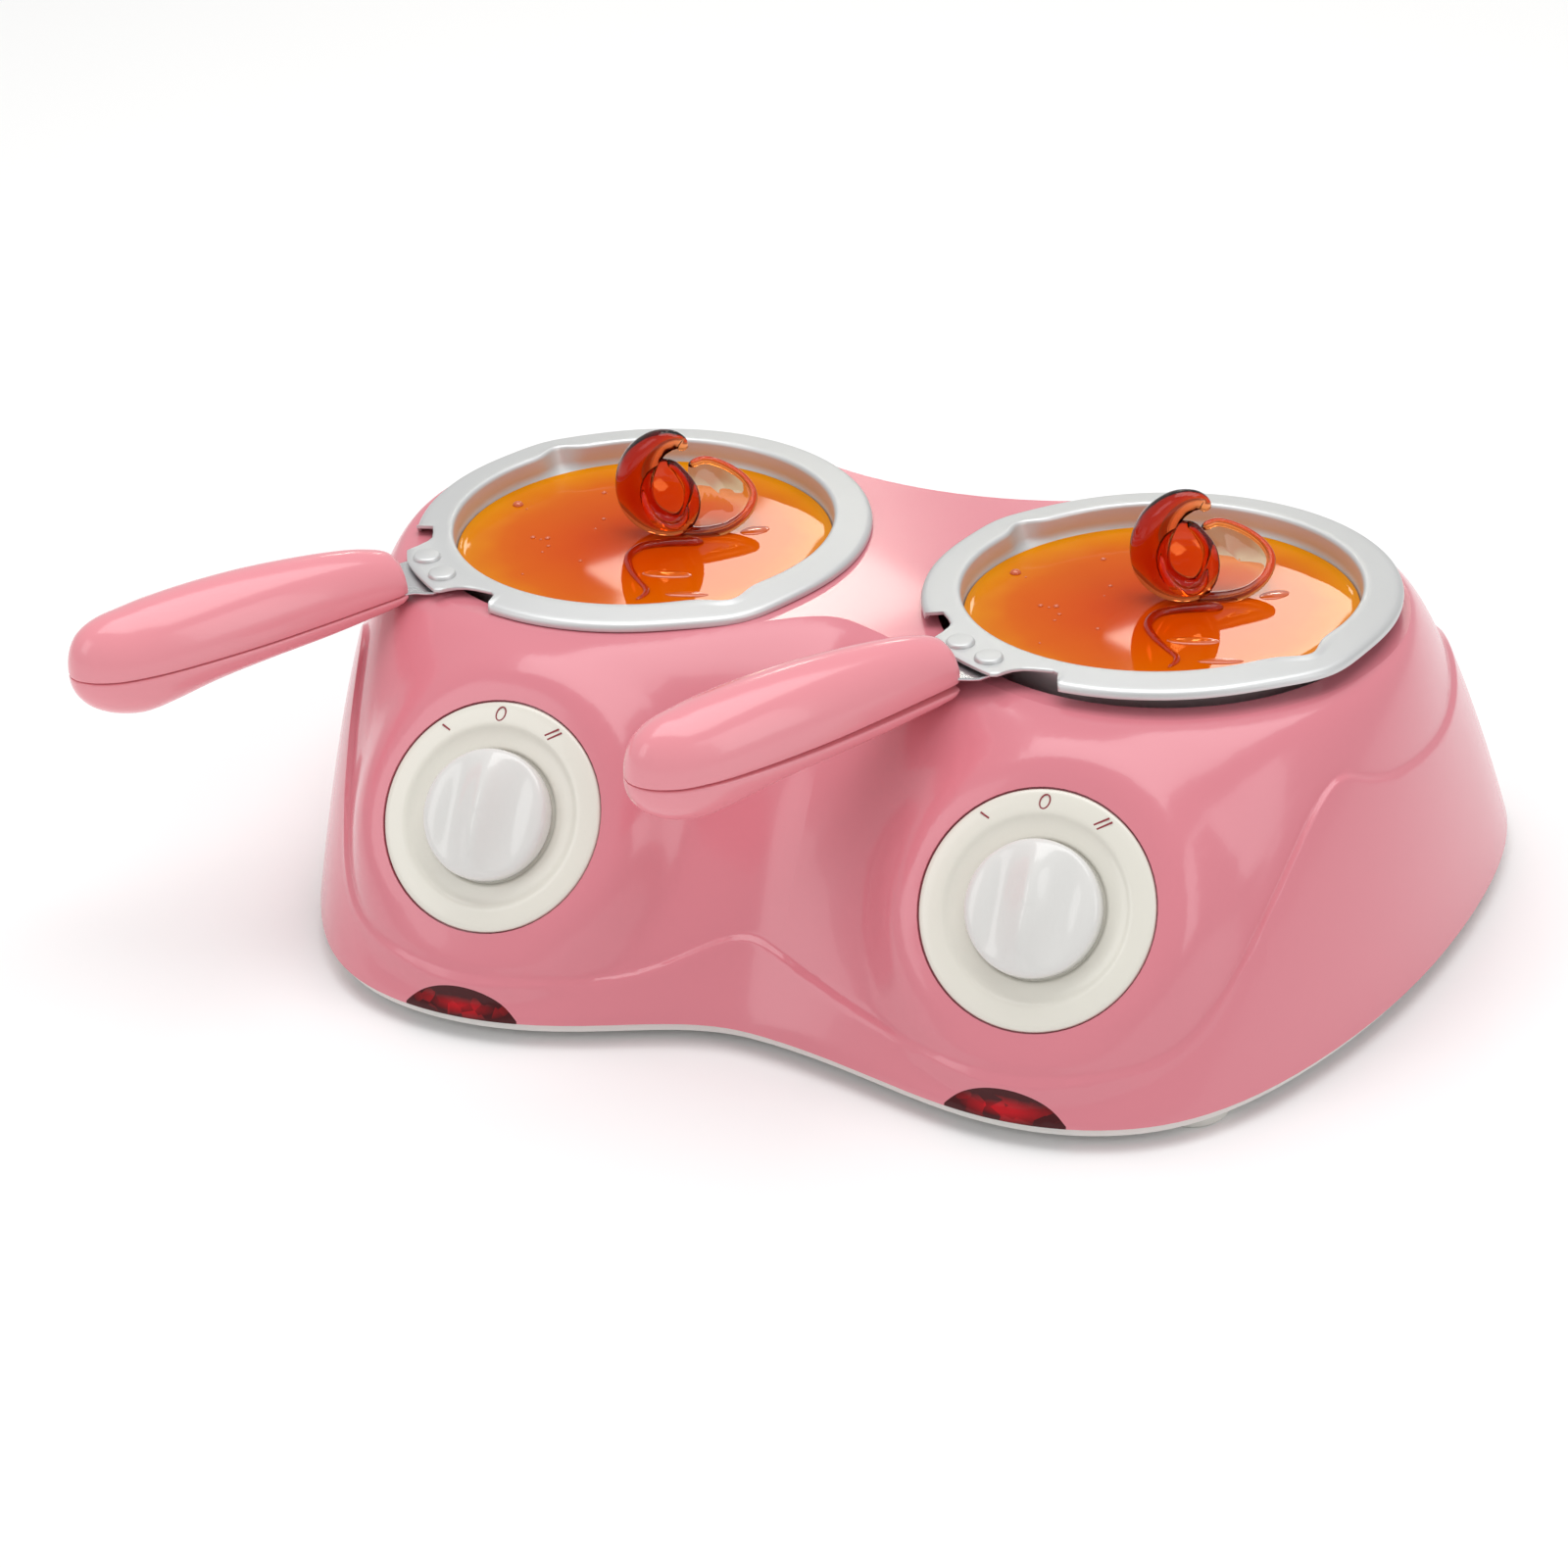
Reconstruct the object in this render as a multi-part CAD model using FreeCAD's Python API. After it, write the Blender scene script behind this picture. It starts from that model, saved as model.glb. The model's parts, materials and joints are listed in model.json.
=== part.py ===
import FreeCAD, Part
import math
import os
from FreeCAD import Placement, Rotation, Vector

# Twin-pot wax warmer.  While modelling, x = 0 is the plane between the two halves, y = 0 runs
# through both pot centres, +y is the back and z = 0 is the table.  At the end everything moves so
# that the origin lies under the middle of the whole object.

SIDES = {"left": -1.0, "right": 1.0}
UP = Vector(0, 0, 1)
X_AXIS = Vector(1, 0, 0)
Y_AXIS = Vector(0, 1, 0)

# heights above the table
FOOT_HEIGHT = 3.0
COVER_BOTTOM_Z = 6.0
COVER_TOP_Z = 81.5
RIM_Z = 84.0

# pots and the wells that they hang in
POT_PITCH = 141.0
POT_X = POT_PITCH / 2
FLANGE_RADIUS = 60.0
MOUTH_RADIUS = 50.0
BOWL_WALL = 1.1
BOWL_DEPTH = 46.0
BOWL_FLOOR_RADIUS = 30.0
BOWL_CORNER = 14.0
WAX_LEVEL = -9.0
WELL_RADIUS = 56.0
TAB_ANGLE = {"left": 226.1, "right": 236.4}
HANDLE_ANGLE = {"left": 232.7, "right": 234.6}
# how each pot sits: degrees about x, degrees about y, lift of the rim's middle
POT_LEAN = {"left": (0.0, 0.0, 0.0), "right": (-1.4, -1.6, 2.0)}

# cover shell: stations are (bottom x, bottom y, angle on the top arc or top y at x = 0, crown exponent)
TOP_ARC_RADIUS = 62.0
WALL = 2.5
FRONT_WAIST = ((0, -108), (0, -33), 1.5)
BACK_WAIST = ((0, 78), (0, 45), 1.6)
LOBE_STATIONS = [
    ((37, -117), -127, 1.6),
    ((71, -124), -90, 1.75),
    ((107, -113), -55, 1.75),
    ((131, -80), -28, 1.9),
    ((147, -33), -8, 1.85),
    ((153, 12), 8, 1.5),
    ((151, 46), 28, 1.4),
    ((136, 75), 52, 1.5),
    ((105, 90), 72, 1.6),
    ((70, 92), 95, 1.6),
    ((34, 84), 125, 1.6),
]

# styling step that runs round the skirt: (fraction of the half outline from front to back, height)
STEP_LINE = [
    (0.0, 24.0), (0.06, 18.5), (0.13, 15.6), (0.2, 15.0), (0.25, 18.0), (0.295, 26.0), (0.33, 47.0),
    (0.362, 65.5), (0.4, 64.5), (0.47, 58.0), (0.53, 56.6), (0.59, 59.0), (0.66, 57.0), (0.72, 40.0),
    (0.77, 24.0), (0.83, 17.0), (0.89, 15.0), (0.95, 18.0), (1.0, 22.0),
]
STEP_OUT = 1.3
STEP_ROWS = [(-2.6, 0.0), (-1.2, 0.0), (0.0, 0.0), (0.7, 1.0), (1.9, 1.0), (3.4, 1.0)]
COLUMNS = 192
ROWS_ABOVE_STEP = 15
ROWS_BELOW_STEP = 7

# dials and switches; depths are measured along the dial's axis from the cover's flat
DIAL_Y = -99.35
DIAL_Z = 48.8
DIAL_TILT = 36.8
DIAL_RADIUS = 28.7
DIAL_THICKNESS = 1.6
POCKET_RADIUS = 29.1
FLAT_RADIUS = 32.0
BLEND_RADIUS = 47.0
PAD_RADIUS = 31.5
PAD_DEPTH = 6.0
KNOB_RADIUS = 16.4
KNOB_HEIGHT = 9.0
KNOB_GAP = 0.5
SHAFT_RADIUS = 3.0
SHAFT_CLEARANCE = 0.05
BUSH_RADIUS = 4.5
SWITCH_SIZE = (20.0, 22.0, 15.0)
EAR_HALF_LENGTH = 18.0
EAR_SCREW_X = 14.2

# base, feet and things that stand on the base
FOOT_RADIUS = 9.5
FEET = {"front": (108, -97), "back": (108, 70)}
POSTS = [(118, -84), (118, 72), (-118, -84), (-118, 72), (0, -24), (0, 36)]
POST_RADIUS = 4.0
SCREW_RADIUS = 1.45
PILOT_RADIUS = 1.5
HEAD_RADIUS = 3.2
LENS_X = 70.6
LENS_HALF_LENGTH = 15.1
LENS_HEIGHT = 7.5
GLAND_Z = 16.0
GLAND_FACE_Y = 79.0
GLAND_BORE = 3.6

# well cup and what heats it
COLLAR_BOTTOM_Z = 70.0
CUP_RADIUS = 54.0
CUP_WALL = 0.8
CUP_FLOOR_Z = 18.0
LUG_ANGLES = (60, 180, 300)
LUG_RADIUS = 60.3
LUG_BOSS_RADIUS = 3.4
PLATE_RADIUS = 32.0
PLATE_BOTTOM_Z = 27.5
PLATE_TOP_Z = 34.5
ELEMENT_RING = 22.0
ELEMENT_RADIUS = 3.2
BOSS_ANGLES = (30, 150, 270)
BOSS_RING = 13.0

# rim tab that the handle is riveted to, in the pot's frame with the tab on +x
TAB_SECTOR = 24.5
TAB_ROOT = 55.2
TAB_OUTLINE = [
    (54.2, -13.4), (57.0, -13.6), (61.4, -12.6), (63.4, -8.0), (63.8, 0.0), (63.6, 8.0), (62.8, 13.0),
    (59.0, 13.2), (56.6, 14.2), (54.2, 14.0),
]
TAB_BOTTOM = -0.8
TAB_TOP = 0.25
SPOUT_RADIUS = 6.0
SPOUT_FLOOR = 0.2
RIVET_RING = 58.4
RIVET_SPREAD = 5.7
RIVET_HEAD = 3.7
RIVET_SHANK = 1.6

# handle, in a frame whose x runs along the handle from the middle between the rivets; z = 0 is the rim
HANDLE_START = {"left": 10.9, "right": 8.9}
SEAM_START = {"left": -1.725, "right": -2.45}
SEAM_SLOPE = {"left": 0.0, "right": -0.015}
SEAM_GAP = 0.3
SHELL_WALL = 2.0
HOLLOW_DROP = 0.6
HANDLE_SCREW_X = 29.6
TANG_TOP = -1.3
TANG_THICKNESS = 0.85
TANG_SLACK = 0.15
# half widths of the tang from its inner edge to its end inside the handle
TANG_OUTLINE = [(-6.2, 8.6), (-2.0, 10.6), (5.8, 10.2), (9.5, 7.2), (14.0, 5.6), (22.0, 5.5), (45.6, 5.5)]
# stations: distance from the start, half width, height above the seam, depth below it
HANDLE_STATIONS = [
    (0.0, 6.6, 7.6, 2.8), (1.5, 7.4, 9.2, 3.8), (5.0, 8.0, 10.8, 4.6), (12.0, 8.9, 12.6, 5.4),
    (24.0, 10.4, 14.2, 6.6), (40.0, 12.0, 15.3, 7.6), (54.0, 12.6, 15.3, 9.4), (66.0, 12.5, 14.6, 12.2),
    (73.0, 11.8, 13.8, 13.2), (80.0, 10.2, 12.8, 11.6), (85.0, 7.4, 10.6, 8.8), (87.6, 4.6, 7.4, 5.8),
    (88.8, 2.2, 3.8, 3.0),
]
HOLLOW_RANGE = {1: (5.0, 80.0), -1: (40.0, 80.0)}


def cylinder(radius, height, base, axis=UP):
    return Part.makeCylinder(radius, height, base, axis)


def polar(radius, angle, z=0.0):
    return Vector(radius * math.cos(math.radians(angle)), radius * math.sin(math.radians(angle)), z)


def largest(shape):
    """The main solid, without the offcuts that a cut can leave beside it."""
    return max(shape.Solids, key=lambda solid: solid.Volume)


def revolve(profile, centre=Vector(0, 0, 0)):
    """Solid of revolution about the vertical through centre; profile holds (radius, z) points."""
    points = [Vector(r, 0, z) for r, z in profile]
    face = Part.Face(Part.makePolygon(points + points[:1]))
    solid = face.revolve(Vector(0, 0, 0), UP, 360)
    solid.translate(centre)
    return solid


# ---------------------------------------------------------------- cover surface

def closed_stations():
    """All stations once round, from the front waist to the right, the back and the left."""
    def lobe(station):
        (x, y), angle, exponent = station
        top = Vector(POT_X, 0, 0) + polar(TOP_ARC_RADIUS, angle)
        return (Vector(x, y, exponent), top)

    def waist(station):
        (x, y), (top_x, top_y), exponent = station
        return (Vector(x, y, exponent), Vector(top_x, top_y, 0))

    def mirrored(pair):
        return tuple(Vector(-v.x, v.y, v.z) for v in pair)

    right = [lobe(s) for s in LOBE_STATIONS]
    left = [mirrored(p) for p in reversed(right)]
    return [waist(FRONT_WAIST)] + right + [waist(BACK_WAIST)] + left


def guide(points, parameters):
    curve = Part.BSplineCurve()
    curve.interpolate(Points=points, PeriodicFlag=True, Parameters=parameters)
    return curve


def outline_guides():
    """Bottom guide (its z is the crown exponent) and top guide, on one shared parameter 0..1."""
    pairs = closed_stations()
    middles = [Vector((b.x + t.x) / 2, (b.y + t.y) / 2, 0) for b, t in pairs]
    lengths = [0.0]
    for here, after in zip(middles, middles[1:] + middles[:1]):
        lengths.append(lengths[-1] + here.distanceToPoint(after))
    parameters = [length / lengths[-1] for length in lengths]
    return guide([b for b, t in pairs], parameters), guide([t for b, t in pairs], parameters)


def step_guide():
    """Height of the styling step against the outline parameter; both halves are alike."""
    half = [(fraction / 2, z) for fraction, z in STEP_LINE]
    both = half + [(1 - u, z) for u, z in reversed(half[1:-1])]
    points = [Vector(math.cos(2 * math.pi * u), math.sin(2 * math.pi * u), z) for u, z in both]
    return guide(points, [u for u, z in both] + [1.0])


BOTTOM_GUIDE, TOP_GUIDE = outline_guides()
STEP_GUIDE = step_guide()
DIAL_SLOPE = math.radians(DIAL_TILT)
DIAL_NORMAL = Vector(0, -math.cos(DIAL_SLOPE), math.sin(DIAL_SLOPE))
DIAL_UP = Vector(0, math.sin(DIAL_SLOPE), math.cos(DIAL_SLOPE))


def dial_centre(side):
    return Vector(side * POT_X, DIAL_Y, DIAL_Z)


def smooth(t):
    t = min(1.0, max(0.0, t))
    return t * t * (3 - 2 * t)


def flatten_at_dials(point):
    """Pull the cover on to the dials' planes, fading out with distance from each dial."""
    for side in SIDES.values():
        offset = point - dial_centre(side)
        height = offset.dot(DIAL_NORMAL)
        distance = (offset - DIAL_NORMAL * height).Length
        if distance < BLEND_RADIUS and abs(height) < FLAT_RADIUS:
            share = 1 - smooth((distance - FLAT_RADIUS) / (BLEND_RADIUS - FLAT_RADIUS))
            return point - DIAL_NORMAL * (height * share)
    return point


def side_point(u, w):
    """Point on the cover's side; w runs from 0 at the top face to 1 at the bottom edge."""
    bottom = BOTTOM_GUIDE.value(u % 1.0)
    top = TOP_GUIDE.value(u % 1.0)
    z = COVER_TOP_Z - (COVER_TOP_Z - COVER_BOTTOM_Z) * w ** bottom.z
    return flatten_at_dials(Vector(top.x + (bottom.x - top.x) * w, top.y + (bottom.y - top.y) * w, z))


def side_normal(u, w):
    step = 0.002
    low = max(w - step, 0.0)
    along = side_point(u + step, w) - side_point(u - step, w)
    down = side_point(u, min(w + step, 1.0)) - side_point(u, low)
    return down.cross(along).normalize()


def step_fraction(u):
    """Where the styling step crosses this column, as a value of w."""
    exponent = BOTTOM_GUIDE.value(u).z
    drop = COVER_TOP_Z - STEP_GUIDE.value(u).z
    return (drop / (COVER_TOP_Z - COVER_BOTTOM_Z)) ** (1 / exponent)


def column_rows(u):
    """Rows of one column as (w, share of the step), packed closely across the step."""
    at_step = step_fraction(u)
    length = (side_point(u, 1.0) - side_point(u, 0.0)).Length
    close = [(at_step + distance / length, share) for distance, share in STEP_ROWS]
    first = close[0][0]
    last = close[-1][0]
    above = [(first * i / ROWS_ABOVE_STEP, 0.0) for i in range(ROWS_ABOVE_STEP)]
    below = [(last + (1 - last) * (i + 1) / ROWS_BELOW_STEP, 1.0) for i in range(ROWS_BELOW_STEP)]
    return above + close + below


def outer_column(u):
    return [side_point(u, w) + side_normal(u, w) * (STEP_OUT * share) if share else side_point(u, w)
            for w, share in column_rows(u)]


def inner_column(u):
    """The cover's inside: one wall thickness in, and run on below the bottom edge."""
    rows = 24
    top = TOP_GUIDE.value(u)
    column = [Vector(top.x, top.y, COVER_TOP_Z - WALL)]
    for i in range(1, rows + 1):
        w = i / rows
        column.append(side_point(u, w) - side_normal(u, w) * WALL)
    last = column[-1]
    column.append(Vector(last.x, last.y, COVER_BOTTOM_Z - WALL))
    return column


def level_ends(column, top_z, bottom_z):
    column[0].z = top_z
    column[-1].z = bottom_z
    return column


def capped_solid(columns):
    """Solid with a smooth closed side through the columns' poles and flat ends."""
    degree = 3
    rows = len(columns[0])
    spans = rows - degree
    surface = Part.BSplineSurface()
    surface.buildFromPolesMultsKnots(
        columns,
        [1] * (len(columns) + 1),
        [degree + 1] + [1] * (spans - 1) + [degree + 1],
        [float(i) for i in range(len(columns) + 1)],
        [float(i) for i in range(spans + 1)],
        True, False, degree, degree)
    side = surface.toShape()
    rims = [edge for edge in side.Edges if edge.isClosed()]
    caps = [Part.Face(Part.Wire([rim])) for rim in rims]
    shell = Part.Shell([side] + caps)
    shell.sewShape()
    solid = Part.makeSolid(shell)
    if solid.Volume < 0:
        solid.reverse()
    return solid


def outer_solid():
    columns = [level_ends(outer_column(i / COLUMNS), COVER_TOP_Z, COVER_BOTTOM_Z) for i in range(COLUMNS)]
    return capped_solid(columns)


def inner_solid():
    bottom = COVER_BOTTOM_Z - WALL
    columns = [level_ends(inner_column(i / COLUMNS), COVER_TOP_Z - WALL, bottom) for i in range(COLUMNS)]
    return capped_solid(columns)


def outline_prism(inset, bottom_z, top_z):
    """Upright prism on the cover's bottom outline, moved in by inset."""
    stations = 72
    points = []
    for i in range(stations):
        u = i / stations
        normal = side_normal(u, 1.0)
        flat = Vector(normal.x, normal.y, 0).normalize()
        edge = side_point(u, 1.0) - flat * inset
        points.append(Vector(edge.x, edge.y, bottom_z))
    curve = Part.BSplineCurve()
    curve.interpolate(Points=points, PeriodicFlag=True)
    return Part.Face(Part.Wire([curve.toShape()])).extrude(UP * (top_z - bottom_z))


# ---------------------------------------------------------------- housing

def lens_prism(side):
    """Almond outline of an indicator lens, pushed through the front wall."""
    centre = side * LENS_X
    corner_z = COVER_BOTTOM_Z + 0.6
    left = Vector(centre - LENS_HALF_LENGTH, -140, corner_z)
    right = Vector(centre + LENS_HALF_LENGTH, -140, corner_z)
    crown = Part.Arc(left, Vector(centre, -140, COVER_BOTTOM_Z + LENS_HEIGHT), right).toShape()
    down_right = Vector(right.x, right.y, COVER_BOTTOM_Z)
    down_left = Vector(left.x, left.y, COVER_BOTTOM_Z)
    sides = ((right, down_right), (down_right, down_left), (down_left, left))
    edges = [crown] + [Part.makeLine(a, b) for a, b in sides]
    return Part.Face(Part.Wire(edges)).extrude(Vector(0, 60, 0))


def top_cover(outer, inner):
    shell = outer.cut(inner)
    collar_top = COVER_TOP_Z - WALL / 2
    additions = []
    cuts = []
    for side in SIDES.values():
        centre = Vector(side * POT_X, 0, COLLAR_BOTTOM_Z)
        tall = collar_top - COLLAR_BOTTOM_Z
        collar = cylinder(WELL_RADIUS + WALL, tall, centre)
        bosses = [cylinder(LUG_BOSS_RADIUS, tall, centre + polar(LUG_RADIUS, a)) for a in LUG_ANGLES]
        additions += [collar] + bosses
        cuts.append(cylinder(WELL_RADIUS, COVER_TOP_Z, centre - UP * 5))
        cuts += [cylinder(PILOT_RADIUS, 8.0, centre + polar(LUG_RADIUS, a) - UP) for a in LUG_ANGLES]
        dial = dial_centre(side)
        additions.append(cylinder(PAD_RADIUS, PAD_DEPTH - 1, dial - DIAL_NORMAL * PAD_DEPTH, DIAL_NORMAL))
        cuts.append(cylinder(POCKET_RADIUS, 20, dial - DIAL_NORMAL * DIAL_THICKNESS, DIAL_NORMAL))
        cuts.append(cylinder(BUSH_RADIUS + 0.1, 20, dial - DIAL_NORMAL * 12, DIAL_NORMAL))
        for across in (-EAR_SCREW_X, EAR_SCREW_X):
            start = dial + X_AXIS * across - DIAL_NORMAL * (PAD_DEPTH + 1)
            cuts.append(cylinder(PILOT_RADIUS, 4.6, start, DIAL_NORMAL))
        for above in (-20, 20):
            start = dial + DIAL_UP * above - DIAL_NORMAL * (PAD_DEPTH - 2)
            cuts.append(cylinder(1.5, 6, start, DIAL_NORMAL))
        cuts.append(lens_prism(side))
    additions.append(cylinder(9.0, 12, Vector(0, GLAND_FACE_Y - 12, GLAND_Z), Vector(0, 1, 0)))
    cuts.append(cylinder(5.5, 40, Vector(0, GLAND_FACE_Y - 30, GLAND_Z), Vector(0, 1, 0)))
    for x, y in POSTS:
        post = cylinder(POST_RADIUS, COVER_TOP_Z - COVER_BOTTOM_Z - 1, Vector(x, y, COVER_BOTTOM_Z))
        additions.append(post.common(outer))
        cuts.append(cylinder(PILOT_RADIUS, 14, Vector(x, y, COVER_BOTTOM_Z - 1)))
    cover = shell.fuse(additions)
    cover = cover.cut(cuts)
    return cover


def base_plate():
    plate = outline_prism(0.9, FOOT_HEIGHT, COVER_BOTTOM_Z)
    lip_inset = WALL + 3.2
    lip = outline_prism(lip_inset, COVER_BOTTOM_Z, COVER_BOTTOM_Z + 4)
    lip = lip.cut(outline_prism(lip_inset + 1.8, COVER_BOTTOM_Z - 1, COVER_BOTTOM_Z + 5))
    lens_gaps = [Part.makeBox(2 * LENS_HALF_LENGTH + 4, 30, 8,
                              Vector(side * LENS_X - LENS_HALF_LENGTH - 2, -132, COVER_BOTTOM_Z))
                 for side in SIDES.values()]
    gland_gap = Part.makeBox(24, 20, 8, Vector(-12, 62, COVER_BOTTOM_Z))
    lip = lip.cut(lens_gaps + [gland_gap])
    cuts = []
    for x, y in POSTS:
        cuts.append(cylinder(SCREW_RADIUS + 0.15, 8, Vector(x, y, 1)))
        cuts.append(cylinder(HEAD_RADIUS + 0.3, 1.9, Vector(x, y, FOOT_HEIGHT)))
        cuts.append(cylinder(POST_RADIUS + 0.3, 6, Vector(x, y, COVER_BOTTOM_Z)))
    for side in SIDES.values():
        for x, y in FEET.values():
            cuts.append(cylinder(2.5, 8, Vector(side * x, y, 1)))
        for row in range(5):
            middle = Vector(side * POT_X - 12, -16 + 8 * row - 1.4, 1)
            cuts.append(Part.makeBox(24, 2.8, 8, middle))
    return plate.fuse([lip]).cut(cuts)


def foot(side, x, y):
    """Rubber foot with a stub that snaps through the base plate."""
    pad = revolve([(0, 0), (FOOT_RADIUS - 0.8, 0), (FOOT_RADIUS, 0.8), (FOOT_RADIUS, FOOT_HEIGHT),
                   (2.4, FOOT_HEIGHT), (2.4, 6.1), (3.4, 6.1), (2.2, 8.2), (0, 8.2)])
    pad.translate(Vector(side * x, y, 0))
    return pad


def pan_screw(tip, length, axis=UP, head_height=1.6):
    """Screw whose shank ends at tip and points along axis; the head is behind the shank."""
    seat = tip - axis * length
    shank = cylinder(SCREW_RADIUS, length, seat, axis)
    head = cylinder(HEAD_RADIUS, head_height, seat - axis * head_height, axis)
    return shank.fuse([head])


def base_screws():
    top = COVER_BOTTOM_Z + 10
    seat = FOOT_HEIGHT + 1.9
    return Part.makeCompound([pan_screw(Vector(x, y, top), top - seat) for x, y in POSTS])


def well_screws():
    screws = []
    for side in SIDES.values():
        for angle in LUG_ANGLES:
            tip = Vector(side * POT_X, 0, COLLAR_BOTTOM_Z + 6) + polar(LUG_RADIUS, angle)
            screws.append(pan_screw(tip, 7.0))
    return Part.makeCompound(screws)


def plate_screws():
    screws = []
    for side in SIDES.values():
        for angle in BOSS_ANGLES:
            tip = Vector(side * POT_X, 0, CUP_FLOOR_Z + 8) + polar(BOSS_RING, angle)
            screws.append(pan_screw(tip, 8.0))
    return Part.makeCompound(screws)


def switch_screws():
    screws = []
    ear_back = PAD_DEPTH + 2.0
    for side in SIDES.values():
        for across in (-EAR_SCREW_X, EAR_SCREW_X):
            tip = dial_centre(side) + X_AXIS * across - DIAL_NORMAL * (PAD_DEPTH - 3)
            screws.append(pan_screw(tip, ear_back - PAD_DEPTH + 3, DIAL_NORMAL))
    return Part.makeCompound(screws)


def indicator_lens(side, outer, inner):
    """Red window set into the skirt, thicker than the wall so that it locates from behind."""
    prism = lens_prism(side)
    window = prism.common(outer).cut(inner)
    corner = Vector(side * LENS_X - LENS_HALF_LENGTH, -121.5, COVER_BOTTOM_Z)
    back = Part.makeBox(2 * LENS_HALF_LENGTH, 5, LENS_HEIGHT, corner)
    return window.fuse([back.common(prism).common(outer)])


def indicator_lamp(side):
    """Neon lamp lying behind the lens on its holder."""
    centre = side * LENS_X
    holder = Part.makeBox(8, 7, 6.5, Vector(centre + 4, -113.5, COVER_BOTTOM_Z))
    bulb = cylinder(2.6, 14, Vector(centre - 9, -110, COVER_BOTTOM_Z + 3.4), X_AXIS)
    bulb = bulb.fuse([Part.makeSphere(2.6, Vector(centre - 9, -110, COVER_BOTTOM_Z + 3.4))])
    return holder.fuse([bulb])


def cord_gland():
    """Moulded bush that lines the cord's way through the back wall."""
    inside = GLAND_FACE_Y - 8
    end = GLAND_FACE_Y + 10
    profile = [(GLAND_BORE, inside), (5.5, inside), (5.5, GLAND_FACE_Y), (8.2, GLAND_FACE_Y),
               (8.2, GLAND_FACE_Y + 2.0), (6.2, GLAND_FACE_Y + 3.2), (5.4, end), (GLAND_BORE, end)]
    bush = revolve(profile)
    bush.rotate(Vector(0, 0, 0), X_AXIS, -90)
    bush.translate(Vector(0, 0, GLAND_Z))
    return bush


def terminal_block():
    body = Part.makeBox(34, 14, 11, Vector(-17, 46, COVER_BOTTOM_Z))
    cells = [cylinder(2.4, 5, Vector(x, 53, COVER_BOTTOM_Z + 7)) for x in (-11, 0, 11)]
    slots = [Part.makeBox(1.2, 16, 3, Vector(x, 45, COVER_BOTTOM_Z + 8.5)) for x in (-6.1, 4.9)]
    return body.cut(cells + slots)


# ---------------------------------------------------------------- dial, knob and switch

def along_dial(shape, side):
    """Move a shape modelled with +z outward and +y up the dial on to one dial."""
    shape.Placement = Placement(dial_centre(side), Rotation(X_AXIS, DIAL_UP, DIAL_NORMAL, "ZXY"))
    return shape


def dial_plate(side):
    """Disc with a raised rim band, a dished ring round the knob and two locating pegs."""
    back = -DIAL_THICKNESS
    profile = [(BUSH_RADIUS + 0.4, back), (DIAL_RADIUS, back), (DIAL_RADIUS, -0.2), (DIAL_RADIUS - 0.5, 0.3),
               (23.2, 0.55), (21.6, 0.35), (19.8, -0.25), (18.2, -0.35), (17.2, 0.0), (BUSH_RADIUS + 0.4, 0.0)]
    plate = revolve(profile)
    pegs = [cylinder(1.45, 2.4, Vector(0, y, back - 2.4)) for y in (-20, 20)]
    return along_dial(plate.fuse(pegs), side)


def knob(side):
    """Round knob: a low rim, two scooped flanks and a bar between them for the fingers."""
    base = KNOB_GAP
    top = base + KNOB_HEIGHT
    crown_radius = 44.0
    body = cylinder(KNOB_RADIUS, KNOB_HEIGHT, Vector(0, 0, base))
    dome = Part.makeSphere(crown_radius, Vector(0, 0, top - crown_radius))
    body = body.common(dome)
    scoop_radius = 15.0
    bar_half = 2.3
    scoop_floor = base + 3.0
    scoops = []
    for across in (-1, 1):
        middle = Vector(across * (bar_half + scoop_radius), -20, scoop_floor + scoop_radius)
        scoops.append(cylinder(scoop_radius, 40, middle, Vector(0, 1, 0)))
    body = body.cut(scoops)
    bore = cylinder(SHAFT_RADIUS, 4.2, Vector(0, 0, base))
    return along_dial(body.cut([bore]), side)


def switch_shaft(side):
    length = PAD_DEPTH + 8 + KNOB_GAP + 4.2
    shaft = cylinder(SHAFT_RADIUS, length, Vector(0, 0, KNOB_GAP + 4.2 - length))
    return along_dial(shaft, side)


def rotary_switch(side):
    """Switch body on the back of the cover's pad, with a bush that guides the shaft."""
    width, height, depth = SWITCH_SIZE
    back = -PAD_DEPTH
    block = Part.makeBox(width, height, depth, Vector(-width / 2, -height / 2, back - depth))
    ears = Part.makeBox(2 * EAR_HALF_LENGTH, 9, 2.0, Vector(-EAR_HALF_LENGTH, -4.5, back - 2.0))
    bush = cylinder(BUSH_RADIUS, PAD_DEPTH - DIAL_THICKNESS, Vector(0, 0, back))
    tags = [Part.makeBox(0.8, 4, 5, Vector(x, -2, back - depth - 5)) for x in (-7, -0.4, 6)]
    body = block.fuse([ears, bush] + tags)
    bore = cylinder(SHAFT_RADIUS + SHAFT_CLEARANCE, 30, Vector(0, 0, back - 8.5))
    holes = [cylinder(PILOT_RADIUS, 10, Vector(x, 0, back - 5)) for x in (-EAR_SCREW_X, EAR_SCREW_X)]
    return along_dial(body.cut([bore] + holes), side)


# ---------------------------------------------------------------- well cup and heater

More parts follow.
